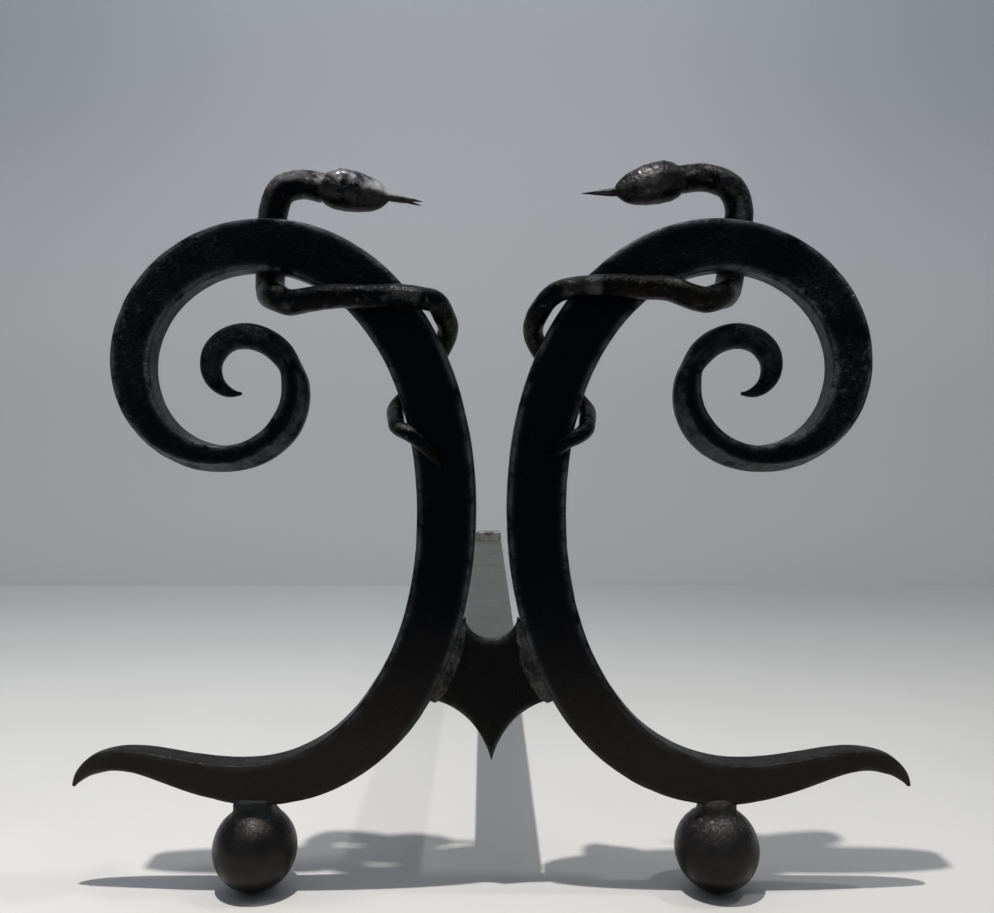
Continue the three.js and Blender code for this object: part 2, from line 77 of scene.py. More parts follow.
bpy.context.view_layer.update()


class Side(Enum):
    """Which scroll a piece belongs to; the value is the sign of its X."""

    LEFT = -1
    RIGHT = 1

    @property
    def word(self) -> str:
        """The side's name, as the nodes spell it."""
        return self.name.lower()


# ---------------------------------------------------------------- numbers over surfaces


def smooth_run(values: Array, reach: int) -> Array:
    """Averages a row of numbers over a bell of `reach` steps either way, with its ends held.

    Args:
        values: the row.
        reach: half the bell's length in steps.

    Returns:
        The row with its kinks eased.
    """
    bell = np.cos(np.linspace(-np.pi / 2, np.pi / 2, 2 * reach + 1)) ** 2
    padded = np.pad(values, reach, mode="edge")
    return np.convolve(padded, bell / bell.sum(), mode="valid")


def rolling_noise(points: Array, cell: float, seed: int) -> Array:
    """Smooth random heights from -1 to 1.

    A lattice of random values, one per corner of a cube of side `cell`, blended inside each cube by
    the eased product weights 3s^2 - 2s^3 along each axis.

    Args:
        points: places, with X, Y and Z in the last axis.
        cell: side of a cube.
        seed: which lattice.

    Returns:
        One height for each place.
    """
    side = 32
    lattice = np.random.default_rng(seed).uniform(-1.0, 1.0, (side, side, side))
    scaled = points / cell
    low = np.floor(scaled).astype(int)
    share = scaled - low
    share = share * share * (3.0 - 2.0 * share)
    total = np.zeros(points.shape[:-1])
    for corner in np.ndindex(2, 2, 2):
        weight = np.prod(np.where(np.array(corner) == 1, share, 1.0 - share), axis=-1)
        at = (low + np.array(corner)) % side
        total += weight * lattice[at[..., 0], at[..., 1], at[..., 2]]
    return total


def hammer_blows(along: Array, across: Array, pitch: float, seed: int) -> Array:
    """Depth of shallow dishes left by a hammer, from 0 between them to 1 at their middles.

    Each square of side `pitch` holds one blow at a random place; the depth is 1 - (d / 0.75)^2 with
    d the distance to the nearest blow in pitches, and never below 0.

    Args:
        along: first coordinate on the surface.
        across: second coordinate on the surface.
        pitch: mean distance between blows.
        seed: which pattern of blows.

    Returns:
        The depth at each place.
    """
    side, reach = 64, 0.75
    jitter = np.random.default_rng(seed).uniform(0.12, 0.88, (side, side, 2))
    first, second = along / pitch, across / pitch
    low_first, low_second = np.floor(first).astype(int), np.floor(second).astype(int)
    nearest = np.full(first.shape, 9.0)
    for step_first, step_second in np.ndindex(3, 3):
        cell_first = low_first + step_first - 1
        cell_second = low_second + step_second - 1
        place = jitter[cell_first % side, cell_second % side]
        away = np.hypot(cell_first + place[..., 0] - first, cell_second + place[..., 1] - second)
        nearest = np.minimum(nearest, away)
    return 1.0 - np.clip(nearest / reach, 0.0, 1.0) ** 2


def grid_normals(grid: Array) -> Array:
    """Unit normals of a grid of points: the cross product of its two central differences.

    Args:
        grid: points, rows by columns by 3; the columns close on themselves.

    Returns:
        A unit vector for each point, to the outside where rows and columns turn that way.
    """
    down = np.gradient(grid, axis=0)
    over = (np.roll(grid, -1, axis=1) - np.roll(grid, 1, axis=1)) / 2.0
    normal = np.cross(over, down)
    length = np.linalg.norm(normal, axis=-1, keepdims=True)
    return normal / np.maximum(length, 1e-9)


def catmull_rom(knots: Array, steps: int) -> Array:
    """Centripetal Catmull-Rom curve through knots.

    Between two knots the point is a cubic whose end tangents come from the neighbouring knots,
    weighted by the square roots of the distances between them.

    Args:
        knots: points, n by dimensions.
        steps: samples between two knots.

    Returns:
        ((n - 1) * steps + 1) points.
    """
    ends = np.concatenate([[2 * knots[0] - knots[1]], knots, [2 * knots[-1] - knots[-2]]])
    before, start, stop, after = ends[:-3], ends[1:-2], ends[2:-1], ends[3:]
    gap = [np.sqrt(np.linalg.norm(b - a, axis=1))[:, None]
           for a, b in ((before, start), (start, stop), (stop, after))]
    least = 1e-4
    middle = np.maximum(gap[1], least)
    early = np.where(gap[0] < least, middle, gap[0])
    late = np.where(gap[2] < least, middle, gap[2])
    leave = ((start - before) / early - (stop - before) / (early + middle) + (stop - start) / middle) * middle
    reach = ((stop - start) / middle - (after - start) / (middle + late) + (after - stop) / late) * middle
    share = np.linspace(0.0, 1.0, steps, endpoint=False)[None, :, None]
    run = (stop - start)[:, None, :]
    cubic = (start[:, None, :] + leave[:, None, :] * share
             + (3 * run - 2 * leave[:, None, :] - reach[:, None, :]) * share ** 2
             + (-2 * run + leave[:, None, :] + reach[:, None, :]) * share ** 3)
    return np.concatenate([cubic.reshape(-1, knots.shape[1]), knots[-1:]])


# ---------------------------------------------------------------- meshes


@dataclass
class Skin:
    """A closed surface: points in millimetres, faces of four and of three.

    Each point also has how rubbed it is, from 0 to 1, which on some pieces also carries a painted sheen, and
    how pitted, which also places painted glints.
    """

    points: Array
    fours: Array
    threes: Array
    arris: Array
    pitted: Array

    def volume(self) -> float:
        """Signed volume; below zero the faces point inwards."""
        split = np.concatenate([self.fours[:, [0, 1, 2]], self.fours[:, [0, 2, 3]], self.threes])
        first, second, third = (self.points[split[:, k]] for k in range(3))
        return float(np.einsum("ij,ij->i", first, np.cross(second, third)).sum() / 6.0)

    def outward(self) -> "Skin":
        """The same surface with its faces turned to the outside."""
        if self.volume() >= 0:
            return self
        return Skin(self.points, self.fours[:, ::-1].copy(), self.threes[:, ::-1].copy(),
                    self.arris, self.pitted)

    def mirrored(self) -> "Skin":
        """The same surface on the other side of X = 0."""
        points = self.points * (-1.0, 1.0, 1.0)
        return Skin(points, self.fours, self.threes, self.arris, self.pitted).outward()

    def on(self, side: Side) -> "Skin":
        """The surface as it is for the left, or mirrored for the right."""
        return self if side is Side.LEFT else self.mirrored()


def tube_skin(rings: Array, arris: Array | None = None, pitted: Array | None = None) -> Skin:
    """Skins a row of closed rings and closes both ends with a fan to the end ring's middle.

    Args:
        rings: rows by columns by 3.
        arris: rows by columns, from 0 on a flat to 1 on a rubbed edge, and up to 1 where a sheen is painted.
        pitted: rows by columns, from 0 where the iron is smooth to 1 where it is pitted; glints are painted
            in the same share.

    Returns:
        The closed surface.
    """
    rows, columns = rings.shape[:2]
    worn = np.zeros((rows, columns)) if arris is None else arris
    coarse = np.zeros((rows, columns)) if pitted is None else pitted
    number = np.arange(rows * columns).reshape(rows, columns)
    beside = np.roll(number, -1, axis=1)
    fours = np.stack([number[:-1], beside[:-1], beside[1:], number[1:]], axis=-1).reshape(-1, 4)
    first, last = rows * columns, rows * columns + 1
    hub = np.full(columns, first)
    rim = np.full(columns, last)
    threes = np.concatenate([
        np.stack([hub, beside[0], number[0]], axis=-1),
        np.stack([rim, number[-1], beside[-1]], axis=-1),
    ])
    points = np.concatenate([rings.reshape(-1, 3), rings[:1].mean(axis=1), rings[-1:].mean(axis=1)])
    return Skin(points, fours, threes, np.append(worn.ravel(), [0.0, 0.0]),
                np.append(coarse.ravel(), [0.0, 0.0])).outward()


def joined(skins: list[Skin]) -> Skin:
    """Several surfaces as one mesh's points and faces."""
    offset = np.cumsum([0] + [len(skin.points) for skin in skins[:-1]])
    return Skin(
        np.concatenate([skin.points for skin in skins]),
        np.concatenate([skin.fours + start for skin, start in zip(skins, offset)]),
        np.concatenate([skin.threes + start for skin, start in zip(skins, offset)]),
        np.concatenate([skin.arris for skin in skins]),
        np.concatenate([skin.pitted for skin in skins]),
    )


def forged_piece(name: str, skin: Skin, finish: bpy.types.Material, node: str) -> None:
    """Makes a mesh object of a surface, hangs it under the root body and hides its CAD node.

    Args:
        name: the piece's name.
        skin: its surface.
        finish: its material.
        node: CAD node that it stands for.
    """
    mesh = bpy.data.meshes.new(name)
    mesh.vertices.add(len(skin.points))
    mesh.vertices.foreach_set("co", (skin.points * MM).astype(np.float32).ravel())
    corners = np.concatenate([skin.fours.ravel(), skin.threes.ravel()])
    starts = np.concatenate([4 * np.arange(len(skin.fours)),
                             4 * len(skin.fours) + 3 * np.arange(len(skin.threes))])
    mesh.loops.add(len(corners))
    mesh.loops.foreach_set("vertex_index", corners.astype(np.int32))
    mesh.polygons.add(len(starts))
    mesh.polygons.foreach_set("loop_start", starts.astype(np.int32))
    mesh.update(calc_edges=True)
    mesh.validate()
    mesh.shade_smooth()
    for label, values in (("arris", skin.arris), ("pitted", skin.pitted)):
        mesh.attributes.new(label, "FLOAT", "POINT").data.foreach_set("value", values.astype(np.float32))
    mesh.materials.append(finish)
    piece = bpy.data.objects.new(name, mesh)
    bpy.context.scene.collection.objects.link(piece)
    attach(piece, "root")
    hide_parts(node)
    LOG.info("%s: %d faces", name, len(starts))


# ---------------------------------------------------------------- finishes


def new_group(name: str, inputs: list[tuple[str, str, object]],
              outputs: list[tuple[str, str]]) -> bpy.types.NodeTree:
    """Makes an empty shader node group with named sockets.

    Args:
        name: the group's name.
        inputs: name, socket type and default of each input.
        outputs: name and socket type of each output.

    Returns:
        The group's tree, with its input and output nodes in it.
    """
    tree = bpy.data.node_groups.new(name, "ShaderNodeTree")
    for label, kind, default in inputs:
        tree.interface.new_socket(label, in_out="INPUT", socket_type=kind).default_value = default
    for label, kind in outputs:
        tree.interface.new_socket(label, in_out="OUTPUT", socket_type=kind)
    tree.nodes.new("NodeGroupInput")
    tree.nodes.new("NodeGroupOutput")
    return tree


@dataclass(frozen=True)
class NodeBench:
    """Adds nodes to a tree and joins them."""

    tree: bpy.types.NodeTree

    def add(self, kind: str, **settings: object) -> bpy.types.Node:
        """A new node with its properties and its named or numbered inputs set.

        Args:
            kind: the node's type.
            settings: properties by name; an input's name starts with `in_`, with _ for a space.

        Returns:
            The node.
        """
        node = self.tree.nodes.new(kind)
        for key, value in settings.items():
            if key.startswith("in_"):
                label = key[3:]
                node.inputs[int(label) if label.isdigit() else label.replace("_", " ")].default_value = value
            else:
                setattr(node, key, value)
        return node

    def join(self, source: bpy.types.NodeSocket, target: bpy.types.NodeSocket) -> None:
        """Links an output to an input."""
        self.tree.links.new(source, target)

    def sum_of(self, operation: str, first: object, second: object,
               clamp: bool = False) -> bpy.types.NodeSocket:
        """A Math node of two values, each a socket or a number.

        Args:
            operation: the node's operation.
            first: its first value.
            second: its second value.
            clamp: whether the result stays between 0 and 1.

        Returns:
            The node's output.
        """
        node = self.add("ShaderNodeMath", operation=operation, use_clamp=clamp)
        for place, value in enumerate((first, second)):
            if isinstance(value, bpy.types.NodeSocket):
                self.join(value, node.inputs[place])
            else:
                node.inputs[place].default_value = value
        return node.outputs[0]

    def ramp(self, source: bpy.types.NodeSocket, low: float, high: float) -> bpy.types.NodeSocket:
        """Maps a value so that `low` gives 0 and `high` gives 1, eased and held outside."""
        node = self.add("ShaderNodeMapRange", interpolation_type="SMOOTHSTEP")
        self.join(source, node.inputs["Value"])
        node.inputs["From Min"].default_value = low
        node.inputs["From Max"].default_value = high
        return node.outputs["Result"]

    def blend(self, share: bpy.types.NodeSocket, first: object, second: object) -> bpy.types.NodeSocket:
        """A colour between two, each a socket or a colour, by a share from 0 to 1."""
        node = self.add("ShaderNodeMix", data_type="RGBA", clamp_factor=True)
        self.join(share, node.inputs["Factor"])
        for label, value in (("A", first), ("B", second)):
            socket = next(s for s in node.inputs if s.name == label and s.type == "RGBA")
            if isinstance(value, bpy.types.NodeSocket):
                self.join(value, socket)
            else:
                socket.default_value = value
        return next(s for s in node.outputs if s.type == "RGBA")


def patina_group() -> bpy.types.NodeTree:
    """Mottled fire scale: blue-black with brown patches, brown where it is ashen, worn bright on edges, with
    painted glints where pitted and a painted sheen where the arris value carries one.
    """
    tree = new_group(
        "FireScale",
        [
            ("Place", "NodeSocketVector", (0.0, 0.0, 0.0)),
            ("Arris", "NodeSocketFloat", 0.0),
            ("Pitted", "NodeSocketFloat", 0.0),
            ("Ashen", "NodeSocketFloat", 0.0),
            ("Patchy", "NodeSocketFloat", 1.0),
            ("Blue Black", "NodeSocketColor", (0.02, 0.022, 0.03, 1.0)),
            ("Brown Black", "NodeSocketColor", (0.03, 0.026, 0.022, 1.0)),
            ("Burnished", "NodeSocketColor", (0.12, 0.118, 0.115, 1.0)),
            ("Wear", "NodeSocketFloat", 0.5),
            ("Smooth", "NodeSocketFloat", 0.35),
            ("Rough", "NodeSocketFloat", 0.6),
        ],
        [("Color", "NodeSocketColor"), ("Roughness", "NodeSocketFloat")],
    )
    bench = NodeBench(tree)
    given = tree.nodes["Group Input"].outputs
    patches = bench.add("ShaderNodeTexNoise", in_Scale=22.0, in_Detail=6.0, in_Roughness=0.62)
    speckle = bench.add("ShaderNodeTexNoise", in_Scale=310.0, in_Detail=4.0, in_Roughness=0.6)
    streaks = bench.add("ShaderNodeTexNoise", in_Scale=85.0, in_Detail=5.0, in_Roughness=0.7)
    for texture in (patches, speckle, streaks):
        bench.join(given["Place"], texture.inputs["Vector"])
    brown = bench.sum_of("MULTIPLY", bench.ramp(patches.outputs["Fac"], 0.46, 0.66), given["Patchy"])
    brown = bench.sum_of("ADD", brown, given["Ashen"], clamp=True)
    scale = bench.blend(brown, given["Blue Black"], given["Brown Black"])
    kept = bench.sum_of("SUBTRACT", 1.0, bench.sum_of("MULTIPLY", given["Ashen"], 0.8))
    edge = bench.sum_of("MULTIPLY", given["Arris"], bench.ramp(streaks.outputs["Fac"], 0.36, 0.62))
    edge = bench.sum_of("MULTIPLY", edge, kept)
    high = bench.sum_of("MULTIPLY", bench.ramp(speckle.outputs["Fac"], 0.6, 0.78),
                        bench.ramp(streaks.outputs["Fac"], 0.5, 0.7))
    # Painted glints: bright speckles in the burnished tone where the scale is pitted.
    glints = bench.sum_of("MULTIPLY", bench.ramp(speckle.outputs["Fac"], 0.56, 0.7), given["Pitted"])
    high = bench.sum_of("ADD", bench.sum_of("MULTIPLY", high, 0.16), bench.sum_of("MULTIPLY", glints, 0.55))
    rubbed = bench.sum_of("ADD", edge, high, clamp=True)
    worn = bench.sum_of("MULTIPLY", rubbed, given["Wear"], clamp=True)
    bench.join(bench.blend(worn, scale, given["Burnished"]), tree.nodes["Group Output"].inputs["Color"])
    dull = bench.sum_of("ADD", bench.sum_of("MULTIPLY", patches.outputs["Fac"], 0.6),
                        bench.sum_of("MULTIPLY", speckle.outputs["Fac"], 0.4))
    span = bench.sum_of("SUBTRACT", given["Rough"], given["Smooth"])
    rough = bench.sum_of("ADD", given["Smooth"], bench.sum_of("MULTIPLY", span, bench.ramp(dull, 0.35, 0.65)))
    bench.join(bench.sum_of("SUBTRACT", rough, bench.sum_of("MULTIPLY", worn, 0.1)),
               tree.nodes["Group Output"].inputs["Roughness"])
    return tree


def relief_group() -> bpy.types.NodeTree:
    """Fine relief of forged iron: hammer facets, pitted scale and short file scratches, as one height."""
    tree = new_group(
        "ForgedRelief",
        [
            ("Place", "NodeSocketVector", (0.0, 0.0, 0.0)),
            ("Facets", "NodeSocketFloat", 110.0),
            ("Facet Depth", "NodeSocketFloat", 0.5),
            ("Pits", "NodeSocketFloat", 420.0),
            ("Pit Depth", "NodeSocketFloat", 0.3),
            ("Pitted", "NodeSocketFloat", 0.0),
        ],
        [("Height", "NodeSocketFloat")],
    )
    bench = NodeBench(tree)
    given = tree.nodes["Group Input"].outputs
    warp = bench.add("ShaderNodeTexNoise", in_Scale=60.0, in_Detail=2.0)
    bench.join(given["Place"], warp.inputs["Vector"])
    shift = bench.add("ShaderNodeVectorMath", operation="MULTIPLY_ADD")
    bench.join(warp.outputs["Color"], shift.inputs[0])
    shift.inputs[1].default_value = (0.006, 0.006, 0.006)
    bench.join(given["Place"], shift.inputs[2])
    facets = bench.add("ShaderNodeTexVoronoi", feature="SMOOTH_F1", in_Smoothness=0.35)
    bench.join(shift.outputs[0], facets.inputs["Vector"])
    bench.join(given["Facets"], facets.inputs["Scale"])
    pits = bench.add("ShaderNodeTexNoise", in_Detail=5.0, in_Roughness=0.65)
    bench.join(given["Place"], pits.inputs["Vector"])
    bench.join(given["Pits"], pits.inputs["Scale"])
    dishes = bench.sum_of("MULTIPLY", bench.ramp(facets.outputs["Distance"], 0.0, 0.75), given["Facet Depth"])
    deep = bench.sum_of("MULTIPLY_ADD", given["Pitted"], 1.5)
    bench.join(given["Pit Depth"], deep.node.inputs[2])
    holes = bench.sum_of("MULTIPLY", bench.ramp(pits.outputs["Fac"], 0.3, 0.62), deep)
    bench.join(bench.sum_of("ADD", dishes, holes), tree.nodes["Group Output"].inputs["Height"])
    return tree


@dataclass(frozen=True)
class IronFinish:
    """One finish of forged iron.

    The scale's two blacks and the burnished tone are colours of the metal, though the burnished tone
    also paints glints and sheen; smooth and rough are the limits of its roughness; relief is how far
    the fine relief stands in metres; patchy is how much of the brown shows in patches, and ashen how
    brown the iron is by the floor.
    """

    name: str
    blue_black: tuple[float, float, float]
    brown_black: tuple[float, float, float]
    burnished: tuple[float, float, float]
    wear: float
    smooth: float
    rough: float
    facets: float
    facet_depth: float
    pits: float
    pit_depth: float
    relief: float
    metallic: float = 1.0
    patchy: float = 1.0
    ashen: float = 0.0

    def material(self, patina: bpy.types.NodeTree, relief: bpy.types.NodeTree) -> bpy.types.Material:
        """Builds the material from the two shared groups.

        Args:
            patina: the fire scale's colour and roughness.
            relief: the fine relief's height.

        Returns:
            The material.
        """
        material = bpy.data.materials.new(self.name)
        material.use_nodes = True
        bench = NodeBench(material.node_tree)
        shader = material.node_tree.nodes["Principled BSDF"]
        shader.inputs["Metallic"].default_value = self.metallic
        shader.inputs["Specular IOR Level"].default_value = 0.3
        place = bench.add("ShaderNodeTexCoord").outputs["Object"]
        # The arris value brings rubbed edges and, on some pieces, a painted sheen; the pitted value brings
        # pits and painted glints.
        arris = bench.add("ShaderNodeAttribute", attribute_name="arris").outputs["Fac"]
        scale = bench.add("ShaderNodeGroup")
        scale.node_tree = patina
        bench.join(place, scale.inputs["Place"])
        bench.join(arris, scale.inputs["Arris"])
        pitted = bench.add("ShaderNodeAttribute", attribute_name="pitted").outputs["Fac"]
        bench.join(pitted, scale.inputs["Pitted"])
        axes = bench.add("ShaderNodeSeparateXYZ")
        bench.join(place, axes.inputs[0])
        bench.join(bench.sum_of("MULTIPLY", bench.ramp(axes.outputs["Z"], 0.15, 0.055), self.ashen),
                   scale.inputs["Ashen"])
        scale.inputs["Patchy"].default_value = self.patchy
        for label, colour in (("Blue Black", self.blue_black), ("Brown Black", self.brown_black),
                              ("Burnished", self.burnished)):
            scale.inputs[label].default_value = (*colour, 1.0)
        for label, value in (("Wear", self.wear), ("Smooth", self.smooth), ("Rough", self.rough)):
            scale.inputs[label].default_value = value
        bench.join(scale.outputs["Color"], shader.inputs["Base Color"])
        bench.join(scale.outputs["Roughness"], shader.inputs["Roughness"])
        height = bench.add("ShaderNodeGroup")
        height.node_tree = relief
        bench.join(place, height.inputs["Place"])
        bench.join(pitted, height.inputs["Pitted"])
        for label, value in (("Facets", self.facets), ("Facet Depth", self.facet_depth),
                             ("Pits", self.pits), ("Pit Depth", self.pit_depth)):
            height.inputs[label].default_value = value
        bump = bench.add("ShaderNodeBump", in_Strength=1.0, in_Distance=self.relief)
        bench.join(height.outputs["Height"], bump.inputs["Height"])
        bench.join(bump.outputs["Normal"], shader.inputs["Normal"])
        return material


BAR_IRON = IronFinish("hammered_bar", (0.0023, 0.0029, 0.0042), (0.02, 0.0182, 0.016), (0.1, 0.105, 0.115),
                      wear=0.5, smooth=0.3, rough=0.5, facets=95.0, facet_depth=0.6, pits=520.0,
                      pit_depth=0.35, relief=0.0005, patchy=0.07, ashen=0.9)
PLATE_IRON = IronFinish("plate_iron", (0.0055, 0.0057, 0.0058), (0.0215, 0.0195, 0.0172), (0.1, 0.1, 0.1),
                        wear=0.4, smooth=0.34, rough=0.5, facets=95.0, facet_depth=0.6, pits=520.0,
                        pit_depth=0.35, relief=0.0004, patchy=0.15, ashen=0.1)
# The burnished tone is rubbed metal and also paints the sheen on the crown, on top of the neck and in patches
# along the body.
SERPENT_IRON = IronFinish("round_bar_rubbed_and_sheen", (0.0025, 0.003, 0.0038), (0.007, 0.0062, 0.005),
                          (0.52, 0.51, 0.5), wear=1.0, smooth=0.2, rough=0.35, facets=170.0,
                          facet_depth=0.55, pits=600.0, pit_depth=0.3, relief=0.0004)
BALL_IRON = IronFinish("ball_iron", (0.0205, 0.019, 0.018), (0.028, 0.025, 0.022), (0.12, 0.112, 0.105),
                       wear=0.5, smooth=0.29, rough=0.38, facets=150.0, facet_depth=0.3, pits=900.0,
                       pit_depth=0.25, relief=0.00014)
WELD_IRON = IronFinish("weld_bead", (0.018, 0.019, 0.02), (0.03, 0.028, 0.0245), (0.16, 0.157, 0.15),
                       wear=0.6, smooth=0.34, rough=0.55, facets=260.0, facet_depth=0.5, pits=700.0,
                       pit_depth=0.35, relief=0.00035)
LOG_IRON = IronFinish("mill_scale", (0.092, 0.094, 0.09), (0.078, 0.076, 0.07), (0.2, 0.195, 0.19),
                      wear=0.15, smooth=0.38, rough=0.5, facets=60.0, facet_depth=0.4, pits=300.0,
                      pit_depth=0.2, relief=0.00005, metallic=0.4, patchy=0.5)
# The rear leg's rubbed band takes a bright burnished tone: rubbing by the logs, and a painted sheen on its
# front face.
LEG_IRON = IronFinish("leg_rubbed_scale_and_sheen", (0.1, 0.101, 0.098), (0.085, 0.083, 0.077), (0.42, 0.42, 0.405),
                      wear=0.8, smooth=0.42, rough=0.6, facets=60.0, facet_depth=0.4, pits=300.0,
                      pit_depth=0.25, relief=0.00014, metallic=0.3)


# ---------------------------------------------------------------- the scroll's bar


@dataclass(frozen=True)
class BendChain:
    """A row of bends: each has its length and the radius that the bar has reached at its end."""

    bends: tuple[tuple[float, float], ...]
    first_radius: float
    heading: float
    turn: float
    step: float = 0.5

    def trail(self) -> dict[str, Array]:
        """Walks along the chain; the curvature runs evenly from bend to bend.

        The heading is the running sum of curvature times step, and X and Z are the running sums of
        its cosine and sine taken half a step on.

        Returns:
            Arrays `gone`, `x`, `z` and `heading`.
        """
        lengths = np.array([length for length, _ in self.bends])
        ends = np.concatenate([[0.0], np.cumsum(lengths)])
        curvatures = self.turn / np.array([self.first_radius] + [radius for _, radius in self.bends])
        count = int(round(ends[-1] / self.step))
        middles = (np.arange(count) + 0.5) * self.step
        curvature = np.interp(middles, ends, curvatures)
        heading = self.heading + np.concatenate([[0.0], np.cumsum(curvature * self.step)])
        halfway = heading[:-1] + curvature * self.step / 2
        return {
            "gone": np.arange(count + 1) * self.step,
            "x": np.concatenate([[0.0], np.cumsum(np.cos(halfway) * self.step)]),
            "z": np.concatenate([[0.0], np.cumsum(np.sin(halfway) * self.step)]),
            "heading": heading,
        }


@dataclass
class ForgedBar:
    """The left scroll's bar: its way, and how its section is drawn down along it.

    Stations are counted from the waist, up to the curl and down, below zero, to the foot.
    """

    width: float = 29.4
    thickness: float = 15.0
    arris: float = 2.0
    waist_gap: float = 14.6
    waist_radius: float = 240.0
    curl: tuple[tuple[float, float], ...] = (
        (70, 147.5), (80, 74.5), (80, 61.5), (65, 47.6), (55, 39.7), (45, 30.6), (35, 25.9), (27, 14.6),
        (31, 12.6))
    foot: tuple[tuple[float, float], ...] = (
        (80, 142.7), (50, 83.0), (52, 81.1), (44, math.inf), (32, -29.5), (20, -19.4))
    curl_taper: tuple[tuple[float, ...], ...] = (
        (0, 1, 1, 0, 0), (100, 1, 1, 0, 0), (150, 0.935, 1, 0, 0), (200, 0.83, 1, 0, 0),
        (250, 0.735, 1, 0, 0), (290, 0.635, 1, 0, 0), (320, 0.52, 1, 0, 0), (345, 0.455, 1, 0, 0.05),
        (380, 0.5, 0.95, 0.05, 0.1), (404, 0.43, 0.85, 0.1, 0.2), (411, 0.36, 0.75, 0.4, 0.7),
        (419, 0.44, 0.82, 1, 1), (440, 0.45, 0.84, 1, 1), (458, 0.43, 0.76, 1, 1), (470, 0.34, 0.6, 1, 1),
        (481, 0.2, 0.36, 1, 1), (488, 0.04, 0.08, 1, 1))
    foot_taper: tuple[tuple[float, ...], ...] = (
        (0, 1, 1, 0, 0), (100, 0.96, 1, 0, 0), (150, 0.815, 1, 0, 0), (190, 0.66, 1, 0, 0),
        (220, 0.5, 0.95, 0, 0), (246, 0.37, 0.8, 0.1, 0.1), (262, 0.33, 0.6, 0.3, 0.3),
        (273, 0.18, 0.33, 0.7, 0.7), (278, 0.05, 0.1, 1, 1))

    def __post_init__(self) -> None:
        """Works out the whole way once, and where the scroll stands from its CAD node's box."""
        up = BendChain(self.curl, self.waist_radius, math.pi / 2, 1.0).trail()
        down = BendChain(self.foot, self.waist_radius, -math.pi / 2, -1.0).trail()
        self.stations = np.concatenate([-down["gone"][:0:-1], up["gone"]])
        self.way = np.stack([
            np.concatenate([down["x"][:0:-1], up["x"]]),
            np.zeros(len(self.stations)),
            np.concatenate([down["z"][:0:-1], up["z"]]),
        ], axis=-1)
        self.heading = np.concatenate([down["heading"][:0:-1] + math.pi, up["heading"]])
        low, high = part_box("left_scroll")
        self.place = np.array([
            -(self.waist_gap + self.width) / 2,
            (low.y + high.y) / 2 / MM,
            high.z / MM - self.crown(),
        ])

    def crown(self) -> float:
        """Height of the arch's top over the waist: the highest point of the outer edge."""
        bar = self.at(np.arange(120.0, 260.0, 0.5))
        edge = bar["centre"] + bar["across"] * bar["width"][:, None] / 2
        return float(edge[:, 2].max())

    def at(self, stations: Array) -> dict[str, Array]:
        """The bar at a row of stations, before it is put in place.

        Args:
            stations: distances from the waist.

        Returns:
            `centre`, `across` (to the waist edge), `width`, `thickness`, `inner` and `outer` arris.
        """
        heading = np.interp(stations, self.stations, self.heading)
        centre = np.stack([np.interp(stations, self.stations, self.way[:, k]) for k in range(3)], axis=-1)
        below = np.array(self.foot_taper)[:0:-1] * (-1.0, 1.0, 1.0, 1.0, 1.0)
        table = np.concatenate([below, np.array(self.curl_taper)])
        wide, thick, inner, outer = (np.interp(stations, table[:, 0], table[:, k]) for k in range(1, 5))
        width, thickness = self.width * wide, self.thickness * thick
        full = 0.48 * np.minimum(width, thickness)
        plain = np.minimum(self.arris, full)
        return {
            "centre": centre,
            "across": np.stack([np.sin(heading), np.zeros_like(heading), -np.cos(heading)], axis=-1),
            "width": width,
            "thickness": thickness,
            "inner": plain + (full - plain) * inner,
            "outer": plain + (full - plain) * outer,
        }


def bar_section(width: Array, thickness: Array, inner: Array, outer: Array,
                corner: int = 7, face: int = 22, edge: int = 10) -> tuple[Array, Array]:
    """Rounded rectangles across a bar, one for each station.

    Round each corner the point is the arc's centre plus its radius times (cos a, sin a), and along
    each flat it runs evenly from one arc's end to the next one's start.

    Args:
        width: across the bar's face.
        thickness: from its front to its back.
        inner: radius of the arrises on the inner edge.
        outer: radius of the arrises on the waist edge.
        corner: points round a corner.
        face: points along a face.
        edge: points along an edge.

    Returns:
        Points (across, back), and how near each lies to an arris, from 0 to 1.
    """
    arcs = []
    corners = ((1, 1, outer), (-1, 1, inner), (-1, -1, inner), (1, -1, outer))
    for quarter, (side, back, radius) in enumerate(corners):
        angle = (quarter + np.linspace(0.0, 1.0, corner)) * math.pi / 2
        arcs.append(np.stack([
            (side * (width / 2 - radius))[:, None] + radius[:, None] * np.cos(angle),
            (back * (thickness / 2 - radius))[:, None] + radius[:, None] * np.sin(angle),
        ], axis=-1))
    parts, near, rubbed = [], [], 0.7
    for quarter, inside in enumerate((face, edge, face, edge)):
        here, after = arcs[quarter], arcs[(quarter + 1) % 4]
        share = np.linspace(0.0, 1.0, inside + 2)[1:-1]
        flat = here[:, -1:] + (after[:, :1] - here[:, -1:]) * share[None, :, None]
        run = np.linalg.norm(after[:, 0] - here[:, -1], axis=-1)[:, None]
        away = run * np.minimum(share, 1.0 - share)
        parts += [here, flat]
        near += [np.ones(here.shape[:2]), np.maximum(np.exp(-away / rubbed), 0.3 if quarter % 2 else 0.0)]
    return np.concatenate(parts, axis=1), np.concatenate(near, axis=1)


